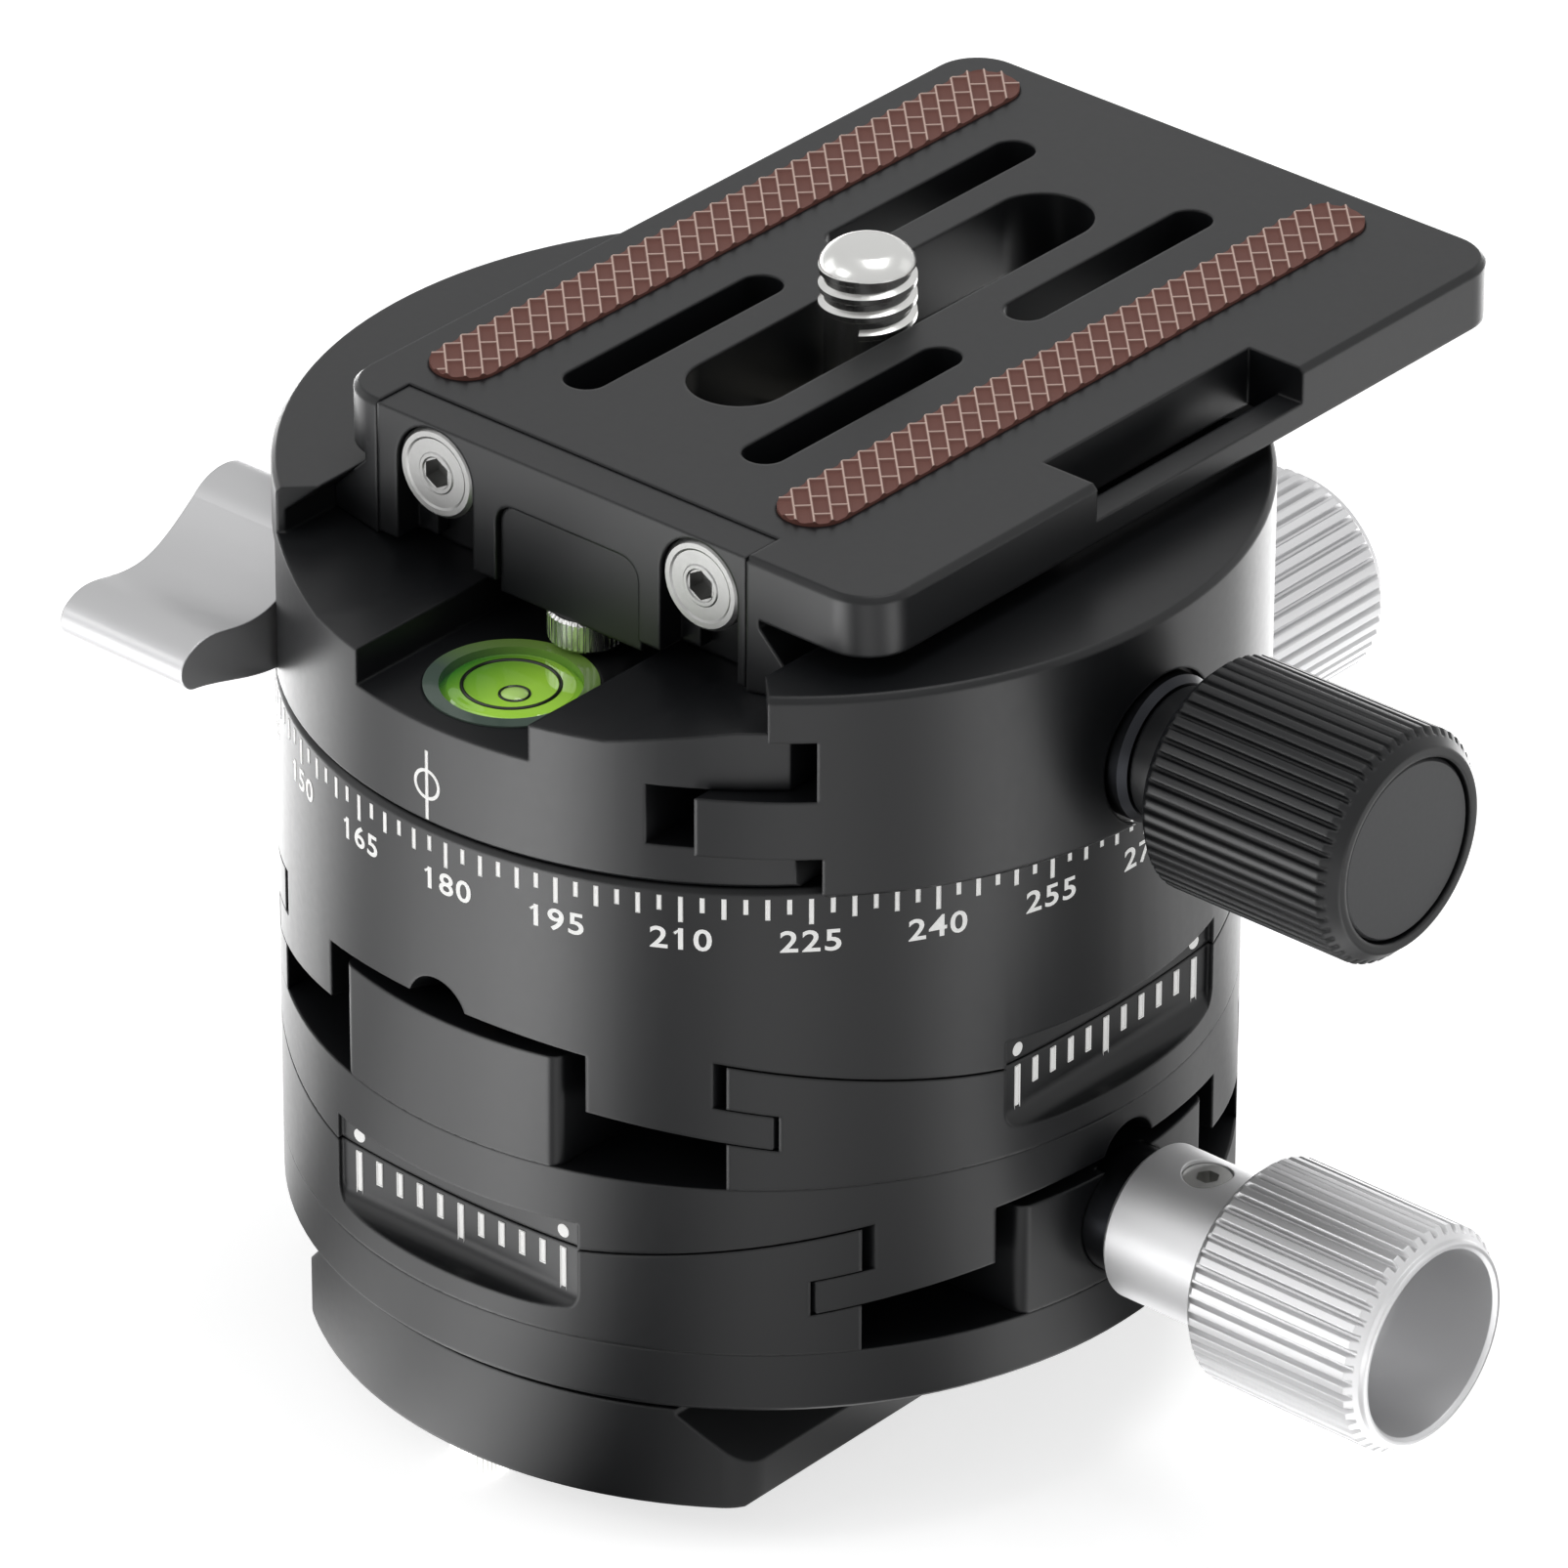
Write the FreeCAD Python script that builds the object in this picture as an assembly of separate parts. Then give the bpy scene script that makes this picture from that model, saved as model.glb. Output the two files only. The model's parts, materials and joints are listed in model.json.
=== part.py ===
import FreeCAD, Part
import math
import os

# Geared tripod head: two tilt stages on arc rails, each driven by a worm and an arc rack, with a
# turning dovetail clamp and a camera plate on top.
# Millimetres. +Z is up and the origin is the mouth of the tripod thread, in the middle of the
# underside of the foot. The lower stage tilts about Y and the upper stage about X.

V = FreeCAD.Vector

# ---- driving dimensions -------------------------------------------------------------------
BODY_RADIUS = 31.0
EDGE_CHAMFER = 0.35

# Foot: a dovetail plate with the tripod thread.
FOOT_HALF_WIDTH = 19.0
FOOT_NECK_HALF_WIDTH = 15.2
FOOT_STRAIGHT_HEIGHT = 3.0
FOOT_HEIGHT = 7.2
FOOT_END_RADIUS = BODY_RADIUS - 1.2
TRIPOD_THREAD_RADIUS = 4.7625
TRIPOD_THREAD_DEPTH = 11.0
FOOT_SCREW_X = 10.5
FOOT_SCREW_Y = 17.0
FOOT_SCREW_RADIUS = 1.6
FOOT_SCREW_HEAD_RADIUS = 3.0
FOOT_SCREW_HEAD_HEIGHT = 2.2
FOOT_STOP_Y = BODY_RADIUS - 3.6
FOOT_STOP_HEAD_RADIUS = 1.9
FOOT_STOP_HEAD_HEIGHT = 2.5
FOOT_STOP_SHANK_RADIUS = 1.0
FOOT_STOP_SHANK_LENGTH = 5.0

# Base disc under the lower stage.
SHADOW_GAP = 0.8
SHADOW_GAP_INSET = 2.2
BASE_DISC_HEIGHT = 4.3

# Arc slide, the same in both stages. Radii are measured from the tilt axis.
ARC_RADIUS = 100.0
ARC_DROP = 6.0
STAGE_HEIGHT = 12.2
NECK_HALF_WIDTH = 17.96
NECK_SIDE_GAP = 0.74
TONGUE_TOP_RADIUS = 103.2
TONGUE_BOTTOM_RADIUS = 105.5
TONGUE_HALF_WIDTH = 20.9
SLIDE_GAP = 0.1
RAIL_TOP_GAP = 0.15
CHANNEL_HALF_WIDTH = 10.8
CHANNEL_RADIUS = 101.6
ROUND_GROOVE_RADIUS = 2.5
ROUND_GROOVE_CREST = 100.0

# Degree scale seat on one rail.
SCALE_SEAT_HALF_WIDTH = 10.2
SCALE_SEAT_Y = BODY_RADIUS - 2.1
SCALE_SEAT_BOTTOM = 1.7
SCALE_SEAT_CORNER = 1.6
SCALE_SEAT_COVE = 1.5

# Worm drive, the same in both stages.
HOUSING_HALF_WIDTH = 9.0
HOUSING_TOWER_TOP = 8.0
HOUSING_SADDLE_RADIUS = 102.0
HOUSING_EDGE_RADIUS = 1.0
HOUSING_END_WALL = 1.0
WORM_AXIS_HEIGHT = 4.4
WORM_HALF_LENGTH = 6.0
WORM_OUTER_RADIUS = 2.3
WORM_ROOT_RADIUS = 1.3
WORM_CREST_HALF_WIDTH = 0.33
WORM_THREAD_SLOPE = 0.35
WORM_TROUGH_GAP = 0.35
SHAFT_RADIUS = 1.5
SHAFT_RUN_GAP = 0.03
BUSH_RADIUS = 2.6
BUSH_LENGTH = 4.0
BUSH_FLANGE_RADIUS = 4.2
BUSH_FLANGE_INSET = 0.6
RACK_TEETH_PER_TURN = 210
RACK_HALF_WIDTH = 2.0
RACK_BACK_RADIUS = 97.4
RACK_ROOT_RADIUS = 99.2
RACK_TIP_RADIUS = 100.2
RACK_TIP_HALF_WIDTH = 0.6
RACK_TEETH_EACH_SIDE = 8
RACK_HALF_ANGLE = 14.8
RACK_GROOVE_HALF_WIDTH = 3.1

# Tilt knob.
COLLAR_START = BODY_RADIUS + 2.0
COLLAR_RADIUS = 5.25
COLLAR_LENGTH = 8.5
KNOB_RADIUS = 7.6
KNOB_LENGTH = 14.2
KNOB_FLUTES = 45
KNOB_FLUTE_DEPTH = 0.4
KNOB_CUP_RADIUS = 6.5
KNOB_CUP_DEPTH = 9.0
KNOB_CHAMFER = 0.5
SET_SCREW_RADIUS = 1.6
SET_SCREW_OFFSET = 4.4
SET_SCREW_SOCKET = 0.8

# Stage screws, from below into the rails and the worm housing.
STAGE_SCREW_RADIUS = 1.0
STAGE_SCREW_HEAD_RADIUS = 1.9
STAGE_SCREW_HEAD_HEIGHT = 2.0
STAGE_SCREW_FLOOR = 2.1
STAGE_SCREW_REACH = 3.8
RAIL_SCREW_X = 13.0
RAIL_SCREW_Y = BODY_RADIUS - 6.4
HOUSING_SCREW_X = BODY_RADIUS - 9.0
HOUSING_SCREW_Y = 5.6

# Drum and pan bearing.
DRUM_HEIGHT = 21.75
PARTING_GAP = 0.1
PAN_BORE_RADIUS = 16.0
PAN_BORE_DEPTH = 8.4
PAN_FLANGE_RADIUS = 12.0
PAN_FLANGE_HEIGHT = 2.0
PAN_WASHER_HEIGHT = 0.6
PAN_WASHER_BORE = 6.0
PAN_BARREL_RADIUS = 9.0
PAN_SPIGOT_HEIGHT = 1.5
PAN_RUN_GAP = 0.05
PAN_SCREW_CIRCLE = 6.0
PAN_SCREW_RADIUS = 1.5
PAN_SCREW_HEAD_RADIUS = 2.3
PAN_SCREW_HEAD_HEIGHT = 2.5
PAN_SCREW_ANGLES = (90, 180, 270)

# Heights of the stack, from the bottom of the foot
FLANGE_BOTTOM = FOOT_HEIGHT + SHADOW_GAP
LOWER_SEAT = FLANGE_BOTTOM + BASE_DISC_HEIGHT
UPPER_SEAT = LOWER_SEAT + STAGE_HEIGHT
DRUM_TOP = UPPER_SEAT + DRUM_HEIGHT
CLAMP_BOTTOM = DRUM_TOP + PARTING_GAP

# Clamp. Heights are above the origin.
CLAMP_TOP = CLAMP_BOTTOM + 14.25
JAW_OPENING = 2.1
JAW_BEVEL_FOOT = CLAMP_BOTTOM + 12.65
JAW_REST_WALL = 19.05
SEAT_HEIGHT = CLAMP_BOTTOM + 9.65
SEAT_FLAT_HALF_WIDTH = 12.0
SEAT_FACET_RISE = 1.4
POCKET_HALF_WIDTH = 7.2
POCKET_DEPTH = 2.5
POCKET_INNER_Y = 14.0
JAW_PARTING_TOP_X = 21.65
JAW_PARTING_LOW_X = 21.9
JAW_SLOT_END_X = 14.4
JAW_SLOT_TOP = CLAMP_BOTTOM + 7.05
JAW_SLOT_BOTTOM = CLAMP_BOTTOM + 2.8
JAW_TONGUE_X = 15.7
JAW_CLOSED_GAP = 0.05
JAW_SLIDE_GAP = 0.1
JAW_CORNER_Y = 4.7
GUIDE_PIN_Y = 15.0
GUIDE_PIN_RADIUS = 1.5
GUIDE_PIN_START = 4.0
GUIDE_PIN_END = 23.5
SPRING_START = 7.0
SPRING_WIRE_RADIUS = 0.3
SPRING_RADIUS = 2.1
SPRING_TURNS = 5

# Clamp knob.
CLAMP_AXIS_HEIGHT = CLAMP_BOTTOM + 4.85
CLAMP_SCREW_RADIUS = 3.0
CLAMP_SCREW_END = 2.0
CLAMP_SCREW_GAP = 0.05
CLAMP_WASHER_RADIUS = 4.9
CLAMP_WASHER_HEIGHT = 0.8
CLAMP_NECK_RADIUS = 4.2
CLAMP_NECK_LENGTH = 3.3
CLAMP_KNOB_RADIUS = 7.75
CLAMP_KNOB_LENGTH = 15.4
CLAMP_KNOB_RIDGES = 52
CLAMP_KNOB_RIDGE_DEPTH = 0.35
CLAMP_CAP_RADIUS = 6.0
CLAMP_CAP_DEPTH = 2.0

# Pan lever. Points are (y, z).
LEVER_OUTER_X = -BODY_RADIUS
LEVER_INNER_X = 10.5 - BODY_RADIUS
LEVER_PIVOT_Y = -16.8
LEVER_PIVOT_Z = CLAMP_BOTTOM + 4.85
LEVER_HUB_RADIUS = 3.95
LEVER_SCREW_RADIUS = 1.5
LEVER_SCREW_HEAD_RADIUS = 2.6
LEVER_SCREW_HEAD_HEIGHT = 1.6
LEVER_SCREW_END_X = 16.0 - BODY_RADIUS
LEVER_POCKET_TOP = CLAMP_BOTTOM + 9.85
LEVER_POCKET_FLOOR = CLAMP_BOTTOM + 0.8
LEVER_POCKET_REAR_Y = -12.2
LEVER_POCKET_FRONT_Y = -19.9
BRAKE_X = 7.6 - BODY_RADIUS
BRAKE_RADIUS = 2.4

# Bubble level.
LEVEL_Y = 7.3 - BODY_RADIUS
LEVEL_RADIUS = 5.55
LEVEL_HEIGHT = 5.7
LEVEL_STAND = 0.1
LEVEL_WALL = 1.0
LEVEL_FLOOR = 1.3

# Camera plate. The dovetail is centred on X and the slab reaches further to +X.
PLATE_TOP = CLAMP_BOTTOM + 19.85
PLATE_SLAB_HEIGHT = 4.1
PLATE_LEFT_X = -19.3
PLATE_RIGHT_X = 25.7
PLATE_FRONT_Y = -19.1
PLATE_REAR_Y = 43.4
PLATE_CORNER = 3.5
PLATE_HALF_WIDTH = 19.0
PLATE_SEAT_GAP = 0.1
PLATE_BEVEL = 2.6
PLATE_CHANNEL_HALF_WIDTH = 9.6
PLATE_CHANNEL_TOP = CLAMP_BOTTOM + 14.25
PLATE_CHANNEL_FRONT_Y = -11.0
PLATE_CHANNEL_REAR_Y = 36.4
CENTRE_SLOT_HALF_WIDTH = 3.4
CENTRE_SLOT_FRONT_Y = -5.5
CENTRE_SLOT_REAR_Y = 31.0
SIDE_SLOT_X = 7.45
SIDE_SLOT_HALF_WIDTH = 1.5
SIDE_SLOT_SPANS = ((-9.7, 10.0), (15.6, 35.0))
GRIP_X = 14.5
GRIP_HALF_WIDTH = 2.35
GRIP_FRONT_Y = -14.0
GRIP_REAR_Y = 41.3
GRIP_SEAT_DEPTH = 0.7
GRIP_PROUD = 0.4
NOTCH_WALL_X = 21.3
NOTCH_BAR_X = 23.7
NOTCH_BAR_TOP = CLAMP_BOTTOM + 17.35
NOTCH_FRONT_Y = 2.2
NOTCH_REAR_Y = 22.5
PLATE_STOP_FRONT_Y = -16.6
PLATE_STOP_REAR_Y = 40.9
PLATE_STOP_HEAD_RADIUS = 2.5
PLATE_STOP_HEAD_HEIGHT = 2.2
PLATE_STOP_SHANK_RADIUS = 1.2
PLATE_STOP_SHANK_LENGTH = 4.0

# Stop lip at the front end of the plate, which slides up on its two screws.
LIP_HALF_WIDTH = 15.3
LIP_THICKNESS = 3.0
LIP_TOP_INSET = 0.1
LIP_BOTTOM = CLAMP_BOTTOM + 10.65
LIP_SIDE_GAP = 0.1
LIP_SCREW_LEFT_X = -10.5
LIP_SCREW_RIGHT_X = 11.5
LIP_SCREW_Z = CLAMP_BOTTOM + 16.35
LIP_SCREW_HEAD_RADIUS = 3.1
LIP_SCREW_HEAD_HEIGHT = 2.0
LIP_SCREW_SHANK_RADIUS = 1.5
LIP_SCREW_SHANK_LENGTH = 3.5
LIP_SLOT_GAP = 0.1
LIP_WINDOW_LEFT_X = -5.4
LIP_WINDOW_RIGHT_X = 6.5
LIP_WINDOW_TOP = CLAMP_BOTTOM + 16.25
LIP_WINDOW_CORNER = 1.5
LIP_BOSS_INSET = 0.4

# Camera screw, 1/4 inch.
CAMERA_SCREW_Y = 10.3
CAMERA_SCREW_RADIUS = 3.175
CAMERA_SCREW_STAND = 4.8
CAMERA_SHANK_RADIUS = 2.9
CAMERA_THREAD_START = 0.3
CAMERA_HEAD_RADIUS = 6.3
CAMERA_HEAD_BOTTOM = CLAMP_BOTTOM + 10.75
CAMERA_WASHER_HEIGHT = 0.5
COIN_SLOT_WIDTH = 1.4
COIN_SLOT_DEPTH = 1.5

# ---- places that follow from them ---------------------------------------------------------
ARC_CENTRE = ARC_DROP + ARC_RADIUS
HOUSING_FACE_X = math.sqrt(BODY_RADIUS ** 2 - BUSH_FLANGE_RADIUS ** 2)
WORM_PITCH_RADIUS = (RACK_ROOT_RADIUS + RACK_TIP_RADIUS) / 2.0
WORM_LEAD = 2.0 * math.pi * WORM_PITCH_RADIUS / RACK_TEETH_PER_TURN
KNOB_START = COLLAR_START + COLLAR_LENGTH
KNOB_END = KNOB_START + KNOB_LENGTH
POCKET_FLOOR = SEAT_HEIGHT - POCKET_DEPTH
PAN_FLOOR = DRUM_TOP - PAN_BORE_DEPTH
PAN_FLANGE_BOTTOM = PAN_FLOOR + PAN_WASHER_HEIGHT
PAN_FLANGE_TOP = PAN_FLANGE_BOTTOM + PAN_FLANGE_HEIGHT
PAN_RETAINER_BOTTOM = PAN_FLANGE_TOP + PAN_WASHER_HEIGHT
PAN_BARREL_TOP = CLAMP_BOTTOM + PAN_SPIGOT_HEIGHT
PAN_SCREW_HEAD_BOTTOM = PAN_BARREL_TOP + 2.6
SLAB_BOTTOM = PLATE_TOP - PLATE_SLAB_HEIGHT
PLATE_BOTTOM = SEAT_HEIGHT + PLATE_SEAT_GAP
JAW_FACE_X = BODY_RADIUS + JAW_OPENING
CLAMP_NECK_START = JAW_FACE_X + CLAMP_WASHER_HEIGHT
CLAMP_KNOB_START = CLAMP_NECK_START + CLAMP_NECK_LENGTH
CLAMP_KNOB_END = CLAMP_KNOB_START + CLAMP_KNOB_LENGTH
FAR = 80.0


# ---- small helpers ------------------------------------------------------------------------
def box(x0, x1, y0, y1, z0, z1):
    return Part.makeBox(x1 - x0, y1 - y0, z1 - z0, V(x0, y0, z0))


def rod_x(radius, x0, x1, y=0.0, z=0.0):
    return Part.makeCylinder(radius, x1 - x0, V(x0, y, z), V(1, 0, 0))


def rod_y(radius, y0, y1, x=0.0, z=0.0):
    return Part.makeCylinder(radius, y1 - y0, V(x, y0, z), V(0, 1, 0))


def rod_z(radius, z0, z1, x=0.0, y=0.0):
    return Part.makeCylinder(radius, z1 - z0, V(x, y, z0), V(0, 0, 1))


def prism(points, direction):
    wire = Part.makePolygon(points + points[:1])
    return Part.Face(wire).extrude(direction)


def profile_along_y(points, y0, y1):
    """Extrude an outline of (x, z) points from y0 to y1."""
    return prism([V(x, y0, z) for x, z in points], V(0, y1 - y0, 0))


def turned_about_z(points):
    """Turn an outline of (radius, z) points about the Z axis."""
    wire = Part.makePolygon([V(r, 0, z) for r, z in points + points[:1]])
    return Part.Face(wire).revolve(V(0, 0, 0), V(0, 0, 1), 360)


def turned_about_x(points, z):
    """Turn an outline of (x, radius) points about the line parallel to X at height z."""
    wire = Part.makePolygon([V(x, 0, z + r) for x, r in points + points[:1]])
    return Part.Face(wire).revolve(V(0, 0, z), V(1, 0, 0), 360)


def rounded_bar(x, half_width, y0, y1, z0, z1):
    """Upright bar along Y with round ends."""
    middle = box(x - half_width, x + half_width, y0 + half_width, y1 - half_width, z0, z1)
    front = rod_z(half_width, z0, z1, x, y0 + half_width)
    rear = rod_z(half_width, z0, z1, x, y1 - half_width)
    return middle.fuse([front, rear]).removeSplitter()


def moved(shape, x=0.0, y=0.0, z=0.0):
    copy = shape.copy()
    copy.translate(V(x, y, z))
    return copy


def mirrored_y(shape):
    return shape.mirror(V(0, 0, 0), V(0, 1, 0))


def fillet_upright_edges(shape, radius, wanted):
    """Round the edges parallel to Z whose place passes the wanted test."""
    chosen = []
    for edge in shape.Edges:
        ends = [vertex.Point for vertex in edge.Vertexes]
        if len(ends) != 2 or abs(ends[0].x - ends[1].x) > 1e-6:
            continue
        if abs(ends[0].y - ends[1].y) < 1e-6 and wanted(ends[0]):
            chosen.append(edge)
    return shape.makeFillet(radius, chosen)


def save(name, shape):
    solids = shape.Solids
    if not solids or not shape.isValid():
        raise RuntimeError(name + " has no valid solid")
    kept = solids[0] if len(solids) == 1 else Part.makeCompound(solids)
    kept.exportStep("parts/" + name + ".step")


def group(shapes):
    return Part.makeCompound([shape.Solids[0] for shape in shapes])


# ---- stage: seat at z = 0, tilt axis parallel to Y at height ARC_CENTRE ------------------
def tilt_cylinder(radius):
    return rod_y(radius, -FAR, FAR, 0.0, ARC_CENTRE)


def arc_band(inner, outer, half_width):
    """Lower part of a ring about the tilt axis, |y| up to half_width."""
    keep = box(-FAR, FAR, -half_width, half_width, -FAR, ARC_CENTRE / 2.0)
    return tilt_cylinder(outer).common(keep).cut(tilt_cylinder(inner))


def tilt_wedge(half_angle, half_width):
    reach = ARC_CENTRE + FAR
    side = reach * math.tan(math.radians(half_angle))
    points = [(0, ARC_CENTRE), (-side, ARC_CENTRE - reach), (side, ARC_CENTRE - reach)]
    return profile_along_y(points, -half_width, half_width)


def body_disc(z0, z1):
    return rod_z(BODY_RADIUS, z0, z1)


def scale_seat():
    """Flat seat with round lower corners that the degree scale is cut into."""
    corner = SCALE_SEAT_CORNER
    half = SCALE_SEAT_HALF_WIDTH
    low = SCALE_SEAT_BOTTOM
    upper = box(-half, half, -FAR, -SCALE_SEAT_Y, low + corner, STAGE_HEIGHT)
    lower = box(-half + corner, half - corner, -FAR, -SCALE_SEAT_Y, low, STAGE_HEIGHT)
    left = rod_y(corner, -FAR, -SCALE_SEAT_Y, -half + corner, low + corner)
    right = rod_y(corner, -FAR, -SCALE_SEAT_Y, half - corner, low + corner)
    seat = upper.fuse([lower, left, right]).removeSplitter()
    cove = SCALE_SEAT_COVE
    wall = -SCALE_SEAT_Y
    back = box(-FAR, FAR, -FAR, wall, low + cove, STAGE_HEIGHT)
    front = box(-FAR, FAR, -FAR, wall - cove, low, STAGE_HEIGHT)
    return seat.common(back.fuse([front, rod_x(cove, -FAR, FAR, wall - cove, low + cove)]))


def rail(with_scale):
    """Rail at -Y. Its lip runs over the tongue of the rocker."""
    wall = NECK_HALF_WIDTH + NECK_SIDE_GAP
    blank = body_disc(0, STAGE_HEIGHT).common(box(-FAR, FAR, -FAR, -wall, 0, STAGE_HEIGHT))
    shape = blank.cut(tilt_cylinder(ARC_RADIUS + RAIL_TOP_GAP))
    groove = arc_band(
        TONGUE_TOP_RADIUS - SLIDE_GAP, TONGUE_BOTTOM_RADIUS + SLIDE_GAP, TONGUE_HALF_WIDTH + 0.3
    )
    shape = shape.cut(groove)
    for x in (-RAIL_SCREW_X, RAIL_SCREW_X):
        shape = shape.cut(rod_z(STAGE_SCREW_RADIUS, -1, STAGE_SCREW_REACH + 0.4, x, -RAIL_SCREW_Y))
    if with_scale:
        shape = shape.cut(scale_seat())
    return shape


def rocker(height):
    """Block with a curved T tongue below, a channel for the worm housing and the rack pocket."""
    blank = body_disc(0, height)
    cap = blank.common(tilt_cylinder(ARC_RADIUS))
    neck = blank.common(arc_band(ARC_RADIUS - 1, TONGUE_TOP_RADIUS + 0.5, NECK_HALF_WIDTH))
    tongue = blank.common(arc_band(TONGUE_TOP_RADIUS, TONGUE_BOTTOM_RADIUS, TONGUE_HALF_WIDTH))
    shape = cap.fuse([neck, tongue])
    channel = arc_band(CHANNEL_RADIUS, ARC_CENTRE + 2, CHANNEL_HALF_WIDTH)
    round_groove = Part.makeTorus(
        ROUND_GROOVE_CREST + ROUND_GROOVE_RADIUS, ROUND_GROOVE_RADIUS, V(0, 0, ARC_CENTRE), V(0, 1, 0)
    )
    worm_groove = arc_band(RACK_ROOT_RADIUS, CHANNEL_RADIUS + 0.5, RACK_GROOVE_HALF_WIDTH)
    rack_slot = arc_band(RACK_BACK_RADIUS, RACK_ROOT_RADIUS + 0.5, RACK_HALF_WIDTH)
    inside = worm_groove.fuse(rack_slot).common(tilt_wedge(RACK_HALF_ANGLE, BODY_RADIUS))
    return shape.cut(channel).cut(round_groove).cut(inside).removeSplitter()


def rack():
    """Arc rack with teeth slanted to the lead of the worm."""
    strip = arc_band(RACK_BACK_RADIUS, RACK_ROOT_RADIUS, RACK_HALF_WIDTH)
    strip = strip.common(tilt_wedge(RACK_HALF_ANGLE, BODY_RADIUS))
    depth = RACK_TIP_RADIUS - RACK_ROOT_RADIUS
    root_half_width = RACK_TIP_HALF_WIDTH + WORM_THREAD_SLOPE * depth
    mesh_radius = ARC_CENTRE - WORM_AXIS_HEIGHT - WORM_PITCH_RADIUS
    slant = -WORM_LEAD / (2.0 * math.pi * mesh_radius)
    sink = 0.2
    sunk_half_width = root_half_width + WORM_THREAD_SLOPE * sink
    root_z = ARC_CENTRE - RACK_ROOT_RADIUS + sink
    tip_z = ARC_CENTRE - RACK_TIP_RADIUS
    start = V(-slant * RACK_HALF_WIDTH, -RACK_HALF_WIDTH, 0)
    corners = [
        V(-sunk_half_width, 0, root_z),
        V(-RACK_TIP_HALF_WIDTH, 0, tip_z),
        V(RACK_TIP_HALF_WIDTH, 0, tip_z),
        V(sunk_half_width, 0, root_z),
    ]
    tooth = prism([start + corner for corner in corners], V(slant, 1, 0) * (2 * RACK_HALF_WIDTH))
    teeth = []
    for step in range(-RACK_TEETH_EACH_SIDE, RACK_TEETH_EACH_SIDE + 1):
        copy = tooth.copy()
        copy.rotate(V(0, 0, ARC_CENTRE), V(0, 1, 0), step * 360.0 / RACK_TEETH_PER_TURN)
        teeth.append(copy)
    return strip.fuse(teeth)


def worm_thread():
    """Right-hand helical ridge whose crests stand midway between the rack teeth at rest."""
    turns = int(2 * WORM_HALF_LENGTH / WORM_LEAD)
    length = turns * WORM_LEAD
    depth = WORM_OUTER_RADIUS - WORM_ROOT_RADIUS
    sink = 0.15
    root_half_width = WORM_CREST_HALF_WIDTH + WORM_THREAD_SLOPE * (depth + sink)
    helix = Part.makeHelix(WORM_LEAD, length, WORM_ROOT_RADIUS)
    inner = WORM_ROOT_RADIUS - sink
    points = [
        V(inner, 0, -root_half_width),
        V(WORM_OUTER_RADIUS, 0, -WORM_CREST_HALF_WIDTH),
        V(WORM_OUTER_RADIUS, 0, WORM_CREST_HALF_WIDTH),
        V(inner, 0, root_half_width),
    ]
    section = Part.makePolygon(points + points[:1])
    ridge = Part.Wire(helix).makePipeShell([section], True, True)
    ridge.translate(V(0, 0, -length / 2.0))
    # With an even number of turns the crests stand half a pitch from x = 0 on the side that faces
    # the rack. With an odd number they do so after half a turn.
    ridge.rotate(V(0, 0, 0), V(0, 1, 0), 90)
    ridge.rotate(V(0, 0, 0), V(1, 0, 0), 180.0 * (turns % 2))
    ridge.translate(V(0, 0, WORM_AXIS_HEIGHT))
    return ridge


def worm_shaft():
    start = -BODY_RADIUS + HOUSING_END_WALL + 0.3
    end = KNOB_END - KNOB_CUP_DEPTH - 0.5
    relief = WORM_HALF_LENGTH + 0.6
    points = [
        (start, 0),
        (start, SHAFT_RADIUS),
        (-relief, SHAFT_RADIUS),
        (-relief, WORM_ROOT_RADIUS),
        (relief, WORM_ROOT_RADIUS),
        (relief, SHAFT_RADIUS),
        (end, SHAFT_RADIUS),
        (end, 0),
    ]
    return turned_about_x(points, WORM_AXIS_HEIGHT).fuse(worm_thread())


def bush_spans():
    """Far bush inside the end wall, near bush up to the housing face under its flange."""
    far_start = -BODY_RADIUS + HOUSING_END_WALL
    face = HOUSING_FACE_X - BUSH_FLANGE_INSET
    return (far_start, far_start + BUSH_LENGTH), (face - BUSH_LENGTH, face)


def worm_bushes():
    far, near = bush_spans()
    bore = rod_x(SHAFT_RADIUS + SHAFT_RUN_GAP, -FAR, FAR, 0, WORM_AXIS_HEIGHT)
    far_bush = rod_x(BUSH_RADIUS, far[0], far[1], 0, WORM_AXIS_HEIGHT).cut(bore)
    sleeve = rod_x(BUSH_RADIUS, near[0], near[1] + 0.1, 0, WORM_AXIS_HEIGHT)
    flange = rod_x(BUSH_FLANGE_RADIUS, near[1], COLLAR_START - SLIDE_GAP, 0, WORM_AXIS_HEIGHT)
    return group([far_bush, sleeve.fuse(flange).cut(bore)])


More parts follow.
